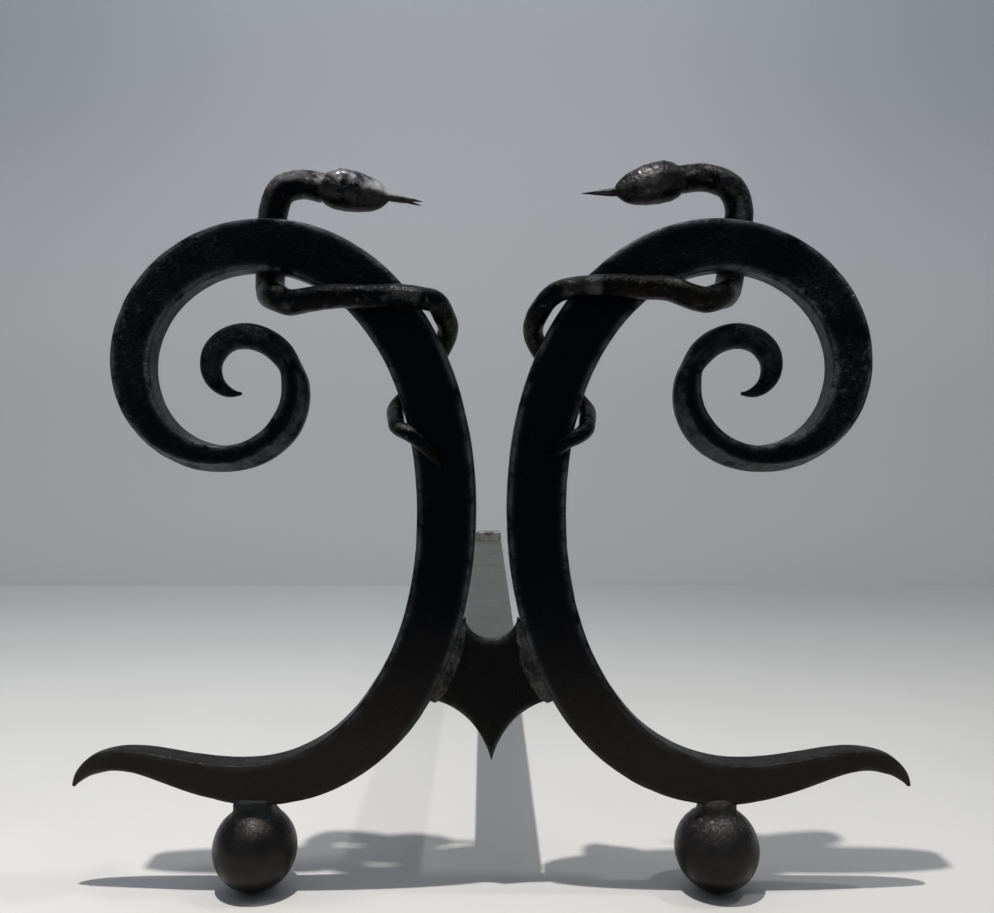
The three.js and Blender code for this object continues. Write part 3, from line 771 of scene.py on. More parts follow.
def hammered(rings: Array, near: Array, depth: float, pitch: float, seed: int) -> Array:
    """Sinks hammer blows and a slow unevenness into a bar's skin, never standing out of it.

    The sink is depth times the blows' dishes on the flats, plus a rolling noise, with the arrises
    knocked in by a noise of their own.

    Args:
        rings: the smooth skin, rows by columns by 3.
        near: nearness to an arris.
        depth: of the blows.
        pitch: between the blows.
        seed: which blows.

    Returns:
        The hammered skin.
    """
    ring_run = np.linalg.norm(np.diff(rings, axis=1, append=rings[:, :1]), axis=-1)
    across = np.cumsum(ring_run, axis=1)
    middle = rings.mean(axis=1)
    along = np.cumsum(np.linalg.norm(np.diff(middle, axis=0, prepend=middle[:1]), axis=-1))
    along = np.broadcast_to(along[:, None], across.shape)
    slow_cell, nick_cell = 26.0, 6.5
    blows = hammer_blows(along, across, pitch, seed)
    slow = 0.5 + 0.5 * rolling_noise(rings, slow_cell, seed + 1)
    nicks = np.clip(rolling_noise(rings, nick_cell, seed + 2), 0.0, 1.0)
    sink = depth * (blows * (1.0 - 0.6 * near) + 0.9 * slow + 1.1 * nicks * near)
    return rings - grid_normals(rings) * sink[..., None]


@dataclass
class Scroll:
    """One scroll: its hammered bar, from the foot's tip to the curl's tip.

    Towards the curl's end the waist edge is beaten to a slant in front. `slant` has how far it
    reaches across the face at each station; where along the bar the scale is pitted, glints are
    also painted on in the burnished tone.
    """

    side: Side
    bar: ForgedBar
    ring_run: float = 1.15
    blow_depth: float = 0.2
    blow_pitch: float = 11.0
    slant: tuple[tuple[float, float], ...] = (
        (280, 0), (305, 1.6), (335, 4.2), (365, 5.6), (390, 5.0), (404, 3.2), (412, 0))
    slant_rise: float = 1.45

    def slanted(self, stations: Array, width: Array, thickness: Array, section: Array,
                near: Array) -> tuple[Array, Array]:
        """Cuts the front waist corner off along a slanting plane.

        A point p beyond the plane n . p = d is drawn towards the section's middle by d / (n . p).

        Args:
            stations: of the rows.
            width: of the bar there.
            thickness: of the bar there.
            section: points (across, back).
            near: nearness to an arris.

        Returns:
            The points and the nearness, with the new edges rubbed.
        """
        table = np.array(self.slant)
        reach = np.interp(stations, table[:, 0], table[:, 1], left=0.0, right=0.0)
        normal = np.array([self.slant_rise, -1.0]) / math.hypot(self.slant_rise, 1.0)
        limit = normal[0] * (width / 2 - reach) - normal[1] * thickness / 2
        over = section @ normal
        cut = (over > limit[:, None]) & (reach[:, None] > 0.05)
        share = np.where(cut, limit[:, None] / np.maximum(over, 1e-6), 1.0)
        edge = np.exp(-np.abs(over - limit[:, None]) / 0.5) * (reach[:, None] > 0.05)
        return section * share[..., None], np.maximum(np.where(cut, 0.95, near), edge)

    def pitting_and_glints(self, stations: Array, rings: Array) -> Array:
        """How pitted the scale is: coarse over the arch's outer half and the curl, in drifting patches; the
        same share paints bright glints there.
        """
        start = 190 if self.side is Side.LEFT else 215
        along = np.interp(stations, [-280, -120, 60, start, start + 18, 300, 330, 400, 425, 490],
                          [0.2, 0.05, 0.05, 0.12, 1.0, 0.9, 0.2, 0.15, 0.9, 0.9])
        patches = 0.5 + 0.9 * rolling_noise(rings, 17.0, 33) + 0.3 * rolling_noise(rings, 6.0, 34)
        return along[:, None] * np.clip(patches, 0.15, 1.2)

    def skin(self) -> Skin:
        """The bar's section carried along its way, then hammered.

        Returns:
            The closed surface, on this scroll's side.
        """
        bar = self.bar
        low, high = bar.stations[0], bar.stations[-1]
        stations = np.linspace(low, high, int((high - low) / self.ring_run))
        made = bar.at(stations)
        eased = {key: smooth_run(made[key], 4) for key in ("width", "thickness", "inner", "outer")}
        for key in ("inner", "outer"):
            eased[key] = np.minimum(eased[key], 0.48 * np.minimum(eased["width"], eased["thickness"]))
        section, near = bar_section(eased["width"], eased["thickness"], eased["inner"], eased["outer"])
        section, near = self.slanted(stations, eased["width"], eased["thickness"], section, near)
        half = 0.48 * np.minimum(eased["width"], eased["thickness"])
        near = near * np.clip(1.25 - eased["inner"] / half, 0.12, 1.0)[:, None]
        rings = (made["centre"][:, None, :] + made["across"][:, None, :] * section[..., :1]
                 + np.array([0.0, 1.0, 0.0]) * section[..., 1:])
        rings = rings + bar.place
        seed = 11 if self.side is Side.LEFT else 47
        slim = np.clip(eased["thickness"] / bar.thickness, 0.05, 1.0)[:, None]
        beaten = hammered(rings, near, self.blow_depth, self.blow_pitch, seed)
        worked = rings + (beaten - rings) * slim[..., None]
        low, high = (np.array(corner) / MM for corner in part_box("left_scroll"))
        skin = tube_skin(np.clip(worked, low, high), near, self.pitting_and_glints(stations, rings + seed))
        return skin.on(self.side)

    def build(self, finish: bpy.types.Material) -> None:
        """Makes the scroll and puts it in its node's place."""
        word = self.side.word
        forged_piece(f"{word}_scroll_bar", self.skin(), finish, f"{word}_scroll")


# ---------------------------------------------------------------- serpents


@dataclass(frozen=True)
class SerpentForm:
    """How one serpent is wound, and its head.

    A winding knot has a station, quarter turns, room and radius. The head's scaly crown ends in a
    border `crown` above the side: its level, its rise towards the neck, and between which distances
    from the crease it rises. An eye has its distance from the crease, its height as an angle, and
    the radius of its ring; the last number is how much the crown and the neck's top are rubbed and
    painted with sheen and glints.
    """

    neck_station: float
    neck_radius: float
    winding: tuple[tuple[float, float, float, float], ...]
    neck: tuple[tuple[float, float, float], ...]
    crease: tuple[float, float, float]
    head_drop: float
    crown: tuple[float, float, float, float]
    eye: tuple[float, float, float]
    # How much the crown and the neck's top are rubbed and painted with sheen and glints: more on the left.
    rub_and_sheen: float


BEARING = 0.15
LEFT_FORM = SerpentForm(
    176, 7.8,
    ((176, -0.3, BEARING, 7.8), (176, 0, BEARING, 7.8), (176, 0.55, 1, 7.6), (168, 1, 4, 7.2),
     (153, 1.2, 6, 6.8), (138, 1.4, 3, 6.4), (126, 1.62, 0.6, 6.1), (114, 1.95, BEARING, 6),
     (105, 2.3, BEARING, 6), (98.5, 2.56, 0.6, 5.9), (94, 2.8, 1.8, 5.8), (88, 3.06, 1.6, 5.7),
     (81, 3.42, 0.4, 5.5), (69, 4, BEARING, 5.2), (60.5, 4.5, BEARING, 4.8), (51.5, 5, 0.6, 4.4),
     (43.5, 5.42, 0.5, 4.1), (37.5, 5.62, BEARING, 3.8), (30.5, 5.78, BEARING, 3.2),
     (25, 5.88, BEARING, 2.3), (22.5, 5.93, BEARING, 1)),
    ((0.6, 8.4, 15.7), (5, 18.4, 15), (16.6, 21.2, 13)), (26.8, 18.6, 10), 8.6,
    (0.24, 0.5, 1.0, 9.0), (12.5, 1.02, 0.75), 1.0)
RIGHT_FORM = SerpentForm(
    187.5, 7.4,
    ((187.5, -0.3, BEARING, 7.5), (187.5, 0, BEARING, 7.4), (187, 0.55, 1, 7.2), (178, 1, 4.4, 7),
     (163, 1.2, 6.8, 6.8), (150, 1.36, 5, 6.6), (139.5, 1.54, 1.6, 6.4), (130, 1.7, BEARING, 6.1),
     (118, 2.06, BEARING, 5.8), (107.5, 2.42, 0.4, 5.6), (98, 2.74, 2, 5.5), (88.5, 3.02, 2.6, 5.5),
     (80.5, 3.4, 0.8, 5.4), (69, 4, BEARING, 5), (60, 4.5, BEARING, 4.7), (51, 5, 1, 4.4),
     (42, 5.38, 0.9, 4.1), (36, 5.6, BEARING, 3.7), (31, 5.73, BEARING, 3), (28, 5.8, BEARING, 1.2)),
    ((-1.2, 10.4, 15.5), (3.2, 21, 14.8), (16.5, 25.8, 12.6)), (29.4, 24, 10), 10.4,
    (0.0, 1.3, 5.0, 13.0), (17.5, 0.86, 1.7), 0.1)


@dataclass
class Serpent:
    """A serpent of round bar wound round a scroll, with its forged head."""

    side: Side
    bar: ForgedBar
    form: SerpentForm
    quarter_run: float = 20.0
    head: tuple[tuple[float, ...], ...] = (
        (0, 7.2, 7.3, 6.9), (2.2, 7.8, 9, 8.8), (6.5, 9.2, 11.2, 10.2), (12.5, 9.9, 11.4, 10.5),
        (19, 9.2, 10.4, 10), (25.5, 7.4, 8.5, 8.7), (31, 5.2, 6.1, 6.5), (33.8, 3.2, 3.8, 4.2),
        (35, 1.7, 2, 2.2))
    columns: int = 72
    ring_run: float = 0.7
    scaly_run: float = 46.0

    def winding_points(self, stations: Array, turns: Array, stand_off: Array) -> Array:
        """Points on the rounded rectangle that lies `stand_off` away from the bar's skin.

        Each quarter turn runs along half a flat, round an arc of the arris plus the stand-off, and
        along half of the next flat.

        Args:
            stations: along the bar.
            turns: quarter turns round it, 0 at the back's middle and 1 at the inner edge's.
            stand_off: distance from the skin.

        Returns:
            The points, before they are put in place.
        """
        made = self.bar.at(stations)
        flat_across = made["width"] / 2 - self.bar.arris
        flat_back = made["thickness"] / 2 - self.bar.arris
        bend = self.bar.arris + stand_off
        quarter = np.floor(turns).astype(int)
        odd = quarter % 2 == 1
        run = np.where(odd, flat_back, flat_across)
        rest = np.where(odd, flat_across, flat_back)
        arc = math.pi / 2 * bend
        gone = (turns - quarter) * (run + arc + rest)
        angle = np.clip((gone - run) / bend, 0.0, math.pi / 2)
        along = np.minimum(gone, run) + bend * np.sin(angle)
        off = rest + bend * np.cos(angle) - np.maximum(0.0, gone - run - arc)
        facing = quarter % 4
        across = np.choose(facing, [-along, -off, along, off])
        back = np.choose(facing, [off, -along, -off, along])
        points = made["centre"] + made["across"] * across[:, None]
        points[:, 1] = back
        return points

    def way(self) -> tuple[Array, Array, Array, Array]:
        """The centre line from the tail's tip to the crease behind the head.

        Returns:
            Points, radii, the crease's place and the head's direction.
        """
        knots = np.array(self.form.winding)
        guide = catmull_rom(np.stack([knots[:, 0], knots[:, 1] * self.quarter_run, knots[:, 2]], axis=-1), 4)
        radius = np.interp(np.arange(len(guide)) / 4, np.arange(len(knots)), knots[:, 3])
        wound = self.winding_points(guide[:, 0], guide[:, 1] / self.quarter_run,
                                    radius + np.maximum(guide[:, 2], BEARING))
        seat = self.bar.at(np.array([self.form.neck_station]))
        top = (seat["centre"] + seat["across"] * seat["width"][:, None] / 2)[0]
        inward, up, back = np.array((*self.form.neck, self.form.crease)).T
        rise = np.stack([top[0] + inward, back, top[2] + up], axis=-1)
        drop = math.radians(self.form.head_drop)
        forward = np.array([math.cos(drop), 0.0, -math.sin(drop)])
        points = np.concatenate([wound[::-1], rise[:-1], rise[-1:] - forward, rise[-1:]])
        radii = np.concatenate([radius[::-1], np.full(len(rise) + 1, self.form.neck_radius)])
        return points, radii, rise[-1], forward

    def body_rings(self) -> tuple[Array, Array, Array, Array]:
        """Centres, radii, and the sideways and upward directions of the rings from tail to crease.

        The upward direction is the head's, carried back along the curve with the least turn: at each
        ring it loses its part along the tangent there.
        """
        knots, radii, _, forward = self.way()
        fine = catmull_rom(knots, 24)
        gone = np.concatenate([[0.0], np.cumsum(np.linalg.norm(np.diff(fine, axis=0), axis=-1))])
        count = int(gone[-1] / self.ring_run)
        even = np.linspace(0.0, gone[-1], count)
        centre = np.stack([np.interp(even, gone, fine[:, k]) for k in range(3)], axis=-1)
        radius = np.interp(np.interp(even, gone, np.arange(len(fine)) / 24), np.arange(len(radii)), radii)
        radius = smooth_run(radius, 6)
        tangent = np.gradient(centre, axis=0)
        tangent /= np.linalg.norm(tangent, axis=-1, keepdims=True)
        side = np.array([0.0, 1.0, 0.0])
        up = np.cross(forward, side)
        ups = np.zeros_like(centre)
        for ring in range(count - 1, -1, -1):
            up = up - tangent[ring] * (up @ tangent[ring])
            up = up / np.linalg.norm(up)
            ups[ring] = up
        return centre, radius, np.cross(ups, tangent), ups

    def head_rings(self) -> tuple[Array, Array]:
        """The head's rings, ahead of the crease, with its mouth, brow and eyes.

        A ring's point is the axis plus half width times cos a sideways and the height above or below
        times sin a upwards. The crown is a plate of small scales that stands half a millimetre proud
        of the cheeks, with a groove under its border; the eyes are rings punched into it.

        Returns:
            Ring points, and how far each lies on the crown.
        """
        _, _, crease, forward = self.way()
        table = np.array(self.head)
        snout = 31.0 + 4.0 * np.sin(np.linspace(0.06, 1.0, 20) * np.pi / 2)
        ahead = np.concatenate([np.linspace(0.4, 31.0, 74), snout])
        fine = np.linspace(0, 35, 351)
        eased = [smooth_run(np.interp(fine, table[:, 0], table[:, k]), 14) for k in (1, 2, 3)]
        half, above, below = (np.interp(ahead, fine, row) for row in eased)
        nose = np.sqrt(np.clip(1.0 - ((ahead - 27.0) / 8.4).clip(0.0) ** 2, 0.03, 1.0))
        half, above, below = half * nose ** 0.7, above * nose ** 0.7, below * nose ** 0.7
        angle = np.linspace(0.0, 2 * np.pi, self.columns, endpoint=False)
        angles, aheads = np.meshgrid(angle, ahead)
        lift = np.where(np.sin(angles) > 0, above[:, None], below[:, None])
        grid = np.stack([np.cos(angles) * half[:, None], np.sin(angles) * lift, aheads], axis=-1)
        aside = np.where(np.cos(angles) >= 0, angles, np.pi - angles)
        aside = (aside + np.pi) % (2 * np.pi) - np.pi
        level, rise, start, stop = self.form.crown
        share = np.clip((stop - aheads) / (stop - start), 0.0, 1.0)
        border = level + rise * share * share * (3.0 - 2.0 * share) + 0.06 * np.sin(aheads * 1.1)
        crown = 1.0 / (1.0 + np.exp(-(aside - border) / 0.05))
        under = np.exp(-((aside - border + 0.16) / 0.11) ** 2)
        scales = hammer_blows(aheads, aside * 9.5, 2.5, 95)
        mouth = np.exp(-((aside + 0.5) / 0.05) ** 2) * np.clip((aheads - 17.0) / 6.0, 0.0, 1.0)
        eye_ahead, eye_up, eye_ring = self.form.eye
        eye = np.hypot(aheads - eye_ahead, (aside - eye_up) * 10.0)
        punched = np.exp(-((eye - eye_ring) / 0.5) ** 2)
        sink = 0.5 * (1.0 - crown) + 0.45 * under + 0.34 * crown * scales + 0.4 * mouth + 0.55 * punched
        normals = grid_normals(grid)
        outward = np.sign((normals[..., :2] * grid[..., :2]).sum(axis=-1, keepdims=True))
        grid = grid - normals * outward * sink[..., None]
        headup = np.cross(forward, np.array([0.0, 1.0, 0.0]))
        across = np.cross(headup, forward)
        rings = crease + across * grid[..., :1] + headup * grid[..., 1:2] + forward * grid[..., 2:]
        return rings, crown

    def skin(self) -> Skin:
        """Body and head as one surface, with scales worked into the neck and dents along the body, and a
        painted sheen on the crown, on top of the neck and in patches along the body.
        """
        centre, radius, across, up = self.body_rings()
        angle = np.linspace(0.0, 2 * np.pi, self.columns, endpoint=False)
        body = (centre[:, None, :] + across[:, None, :] * (radius[:, None] * np.cos(angle))[..., None]
                + up[:, None, :] * (radius[:, None] * np.sin(angle))[..., None])
        left = np.arange(len(centre))[::-1] * self.ring_run
        girth = radius[:, None] * angle[None, :]
        blows = hammer_blows(np.broadcast_to(left[:, None], girth.shape), girth, 7.5, 91)
        slow = 0.5 + 0.5 * rolling_noise(body, 14.0, 93)
        top_side = np.clip(np.sin(angle) * 1.4 + 0.2, 0.0, 1.0)
        scaly_top_and_sheen = np.clip(1.0 - left / self.scaly_run, 0.0, 1.0)[:, None] * top_side
        rough = 0.5 + 0.5 * rolling_noise(body, 1.7, 97)
        slim = np.clip(radius / 5.0, 0.1, 1.0)[:, None]
        sink = (0.22 * blows + 0.3 * slow) * slim + 0.85 * scaly_top_and_sheen * rough
        body = body - grid_normals(body) * sink[..., None]
        head, crown = self.head_rings()
        rings = np.concatenate([body[:-1], head]) + self.bar.place
        # Painted sheen: bright patches along the body, on the neck's top and on the crown in the burnished
        # tone; the pitted share paints glints there too.
        along = 0.13 * np.clip(rolling_noise(body, 7.0, 99) - 0.1, 0.0, 1.0)
        rub_and_sheen = self.form.rub_and_sheen
        worn = np.concatenate([along[:-1] + 0.7 * rub_and_sheen * scaly_top_and_sheen[:-1], 0.04 + 0.96 * rub_and_sheen * crown])
        pitted = np.concatenate([0.07 + 0.5 * scaly_top_and_sheen[:-1], 0.9 * rub_and_sheen * crown])
        return tube_skin(rings, np.clip(worn, 0.0, 1.0), pitted).on(self.side)

    def build(self, finish: bpy.types.Material) -> None:
        """Makes the serpent's body and head and puts them in their node's place."""
        word = self.side.word
        forged_piece(f"{word}_serpent_body", self.skin(), finish, f"{word}_serpent")


@dataclass
class Tongue:
    """The tongue in a serpent's mouth: forked on the left, drawn to one point on the right."""

    serpent: Serpent
    root: float = 35.6
    left_drop: float = 8.0
    right_drop: float = 2.0
    rows: int = 40
    columns: int = 20

    def spike(self, knots: list[list[float]], sizes: list[list[float]]) -> Skin:
        """A flattened spike: ovals of a half breadth b and half height h, (b cos a, h sin a), along knots.

        Args:
            knots: points along its middle.
            sizes: half breadth and half height at each knot.

        Returns:
            Its closed surface.
        """
        knots, sizes = np.array(knots), np.array(sizes)
        share = np.linspace(0.0, 1.0, self.rows)
        at = np.linspace(0.0, 1.0, len(knots))
        centre = np.stack([np.interp(share, at, knots[:, k]) for k in range(3)], axis=-1)
        size = np.stack([np.interp(share, at, sizes[:, k]) for k in range(2)], axis=-1)
        angle = np.linspace(0.0, 2 * np.pi, self.columns, endpoint=False)
        flat = np.zeros((self.rows, self.columns))
        oval = np.stack([flat, size[:, :1] * np.cos(angle), size[:, 1:] * np.sin(angle)], axis=-1)
        return tube_skin(centre[:, None, :] + oval, flat + 0.06)

    def build(self, finish: bpy.types.Material) -> None:
        """Makes the tongue, from inside the mouth to its points, in its node's place."""
        side = self.serpent.side
        _, _, crease, forward = self.serpent.way()
        root = crease + forward * self.root
        if side is Side.LEFT:
            stem = self.spike([[-4, 0, 0.2], [4, 0, 0], [8.4, 0, 0]], [[2.1, 1.9], [2.1, 1.7], [1.8, 1.35]])
            upper = self.spike([[6.6, -0.4, 0.2], [11, -1.3, 0.3], [15.3, -1.5, 0.1]],
                               [[1, 1.2], [0.8, 0.8], [0.2, 0.2]])
            lower = self.spike([[6.6, 0.4, -0.2], [10.5, 1.3, -0.7], [14.6, 1.4, -1.2]],
                               [[1, 1.1], [0.8, 0.7], [0.2, 0.2]])
            skin, drop = joined([stem, upper, lower]), math.radians(self.left_drop)
        else:
            skin = self.spike([[-4, 0, 0], [1, 0, 0], [15.5, 0, 0]], [[2.2, 2.2], [2.1, 2], [0.15, 0.15]])
            drop = math.radians(self.right_drop)
        cos, sin = math.cos(drop), math.sin(drop)
        tilt = np.array([[cos, 0, sin], [0, 1, 0], [-sin, 0, cos]])
        skin.points = skin.points @ tilt.T + root + self.serpent.bar.place
        word = side.word
        forged_piece(f"{word}_serpent_tongue", skin.on(side), finish, f"{word}_tongue")


# ---------------------------------------------------------------- feet


@dataclass
class BallFoot:
    """A solid ball, joined to the bar above by a short lumpy collar that laps over the bar's edges."""

    side: Side
    radius: float = 20.7
    ground: float = 3.2
    rough_from: float = 24.0
    rough_over: float = 12.0
    collar_foot: float = 35.6
    lap: float = 3.4
    columns: int = 160

    def ball(self, middle: Array) -> Skin:
        """The ball: radius times (cos a, sin a) turned about its upright axis, with shallow dents.

        Args:
            middle: its axis on the floor.

        Returns:
            The ball, flat where it stands, roughly forged towards its top, where a highlight is painted on.
        """
        base = math.sqrt(self.radius ** 2 - self.ground ** 2)
        angle = np.linspace(-math.acos(self.ground / self.radius), 1.28, 110)
        turn = np.linspace(0.0, 2 * np.pi, self.columns, endpoint=False)
        rings = np.stack([
            self.radius * np.cos(angle)[:, None] * np.cos(turn),
            self.radius * np.cos(angle)[:, None] * np.sin(turn),
            np.broadcast_to((base + self.radius * np.sin(angle))[:, None], (len(angle), self.columns)),
        ], axis=-1)
        off_floor = np.clip((rings[..., 2] - 0.3) / 2.0, 0.0, 1.0)
        # Painted highlight: the rough top is also rubbed to the burnished tone and given painted glints,
        # twice as much on the right ball.
        forged = np.clip((rings[..., 2] - self.rough_from) / self.rough_over, 0.0, 1.0)
        forged *= 0.5 if self.side is Side.LEFT else 1.0
        dents = 0.14 * np.clip(rolling_noise(rings + 300.0, 7.0, 5 + self.side.value), 0.0, 1.0)
        dents += 0.3 * forged * (0.5 + 0.5 * rolling_noise(rings + 300.0, 1.6, 8 + self.side.value))
        worked = rings - grid_normals(rings) * (dents * off_floor)[..., None]
        worked[0, :, 2] = 0.0
        return tube_skin(worked + middle, 0.1 + 0.6 * forged, 0.7 * forged)

    def collar(self, middle: Array, top: float) -> Skin:
        """The collar: a ring, squarish on the left foot, that flares over the ball and laps the bar.

        Its radius at each height is r(z) / (|cos a|^n + |sin a|^n)^(1/n), pitted by noise.

        Args:
            middle: its axis on the floor.
            top: height of the bar's underside.

        Returns:
            The collar.
        """
        left = self.side is Side.LEFT
        foot, lap = self.collar_foot, self.lap
        height = np.linspace(foot, top + lap, 60)
        profile = np.interp(height, [foot, 38.4, 40.2, top, top + 1.6, top + 2.8, top + lap],
                            [12.6, 10.9, 10.2, 10.4, 10.2, 9.6, 8.4])
        profile = smooth_run(profile, 4)
        turn = np.linspace(0.0, 2 * np.pi, self.columns, endpoint=False)
        square = 3.6 if left else 2.2
        shape = (np.abs(np.cos(turn)) ** square + np.abs(np.sin(turn)) ** square) ** (-1.0 / square)
        reach = profile[:, None] * shape
        rings = np.stack([reach * np.cos(turn), reach * np.sin(turn) * 0.94,
                          np.broadcast_to(height[:, None], reach.shape)], axis=-1)
        lumps = 0.5 + 0.5 * rolling_noise(rings + 200.0, 4.2, 17 + self.side.value)
        lumps += 0.35 * (0.5 + 0.5 * rolling_noise(rings + 200.0, 1.5, 21))
        lump, worn, pitted = (0.7, 0.04, 0.1) if left else (1.1, 0.4, 0.4)
        rings[..., :2] *= (1.0 - lump * lumps / reach)[..., None]
        return tube_skin(rings + middle, np.full(reach.shape, worn), np.full(reach.shape, pitted))

    def build(self, ball_finish: bpy.types.Material, collar_finish: bpy.types.Material) -> None:
        """Makes the ball and the collar in their nodes' places."""
        word = self.side.word
        low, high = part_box(f"{word}_ball")
        middle = np.array([(low.x + high.x) / 2, (low.y + high.y) / 2, 0.0]) / MM
        forged_piece(f"{word}_ball_foot", self.ball(middle), ball_finish, f"{word}_ball")
        _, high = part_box(f"{word}_collar")
        forged_piece(f"{word}_foot_collar", self.collar(middle, high.z / MM), collar_finish,
                     f"{word}_collar")


# ---------------------------------------------------------------- web plate and welds


@dataclass
class WebPlate:
    """The plate between the scrolls: round notch above, pointed and scalloped below."""

    bar: ForgedBar
    thickness: float = 6.0
    top_station: float = 49.0
    shoulder_station: float = 89.0
    tip_drop: float = 30.0
    pull: tuple[float, float] = (7.5, 5.0)
    notch_depth: float = 11.0
    rim: float = 1.1

    def side_line(self, stations: Array, out: float = 0.3) -> Array:
        """Points (x, z) beside the left scroll's waist edge, at stations down from the waist."""
        made = self.bar.at(-stations)
        edge = made["centre"] + made["across"] * (made["width"] / 2 + out)[:, None] + self.bar.place
        return edge[:, [0, 2]]

    def outlines(self) -> tuple[Array, Array]:
        """The plate's upper and lower outline, as points (x, z) at the same row of x.

        Between its corners the upper one is the circle through both corners and the notch's floor,
        and outside them the plate's sides; the lower one is a parabola's arc from each shoulder to
        the tip, B(t) = (1-t)^2 shoulder + 2t(1-t) pull + t^2 tip.
        """
        side = self.side_line(np.linspace(self.top_station, self.shoulder_station, 60))
        corner, shoulder = side[0], side[-1]
        reach = -shoulder[0] - 0.25
        x = np.linspace(-reach, reach, 261)
        floor = corner[1] - self.notch_depth
        radius = (corner[0] ** 2 + self.notch_depth ** 2) / (2 * self.notch_depth)
        arc = floor + radius - np.sqrt(np.maximum(radius ** 2 - x ** 2, 0.0))
        flank = np.interp(-np.abs(x), side[::-1, 0], side[::-1, 1])
        upper = np.where(np.abs(x) < -corner[0], np.minimum(arc, flank), flank)
        t = np.linspace(0.0, 1.0, 200)[:, None]
        pull = np.array([-self.pull[0], shoulder[1] - self.pull[1]])
        tip = np.array([0.0, shoulder[1] - self.tip_drop])
        curve = (1 - t) ** 2 * shoulder + 2 * t * (1 - t) * pull + t ** 2 * tip
        lower = np.interp(-np.abs(x), curve[:, 0], curve[:, 1])
        return np.stack([x, upper], axis=-1), np.stack([x, lower], axis=-1)

    def skin(self) -> Skin:
        """The plate: each column runs up its front, round the rim, down its back and round again."""
        upper, lower = self.outlines()
        rims = []
        for line, sign in ((upper, 1.0), (lower, -1.0)):
            along = np.stack([smooth_run(v, 3) for v in np.gradient(line, axis=0).T], axis=-1)
            along /= np.linalg.norm(along, axis=-1, keepdims=True)
            rims.append(np.stack([-along[:, 1], along[:, 0]], axis=-1) * sign)
        half = self.thickness / 2
        gap = (upper - lower)[:, 1]
        radius = np.minimum(np.minimum(self.rim, 0.2 + 0.5 * np.abs(upper[:, 0])), 0.3 * gap + 0.05)[:, None]
        radius = np.where(gap[:, None] > 3.0, np.maximum(radius, 0.2), radius)
        inner_upper, inner_lower = upper - rims[0] * radius, lower - rims[1] * radius

        def sheet(share: Array, depth: Array | float) -> Array:
            """Points between the inset outlines at a share of the way up."""
            flat = inner_lower[:, None] + (inner_upper - inner_lower)[:, None] * share[None, :, None]
            back = np.broadcast_to(depth, flat.shape[:2])
            return np.stack([flat[..., 0], back, flat[..., 1]], axis=-1)

        def edge(inner: Array, normal: Array, angle: Array) -> Array:
            """Points round the rim, by angle from the front (0) to the back (pi)."""
            out = inner[:, None] + normal[:, None] * (radius * np.sin(angle))[..., None]
            turn = np.where(np.cos(angle) > 0, -half + radius * (1 - np.cos(angle)),
                            half - radius * (1 + np.cos(angle)))
            return np.stack([out[..., 0], np.broadcast_to(turn, out.shape[:2]), out[..., 1]], axis=-1)

        front = np.linspace(0.0, 1.0, 44)
        round_front = np.linspace(0.0, np.pi / 2, 5)[1:]
        round_back = np.linspace(np.pi / 2, np.pi, 5)[:-1] + 1e-6
        parts = [
            sheet(front, -half),
            edge(inner_upper, rims[0], round_front), edge(inner_upper, rims[0], round_back),
            sheet(np.linspace(1.0, 0.0, 16), half),
            edge(inner_lower, rims[1], round_back[::-1]), edge(inner_lower, rims[1], round_front[::-1]),
        ]
        rings = np.concatenate(parts, axis=1)
        near = np.concatenate([
            np.clip(np.exp(-np.minimum(front, 1 - front)[None, :] * gap[:, None] / 0.9), 0, 1),
            np.ones((len(gap), 8)), np.zeros((len(gap), 16)), np.ones((len(gap), 8))], axis=1)
        dents = 0.28 * hammer_blows(rings[..., 0], rings[..., 2], 9.0, 61) + 0.25 * (
            0.5 + 0.5 * rolling_noise(rings + 400.0, 8.0, 62))
        rings[..., 1] += np.where(rings[..., 1] < 0, dents, -dents) * np.clip(gap / 6.0, 0.0, 1.0)[:, None]
        rings[..., 1] += self.bar.place[1]
        return tube_skin(rings, near)

    def build(self, finish: bpy.types.Material) -> None:
        """Makes the plate in its node's place."""
        forged_piece("scalloped_web", self.skin(), finish, "web_plate")


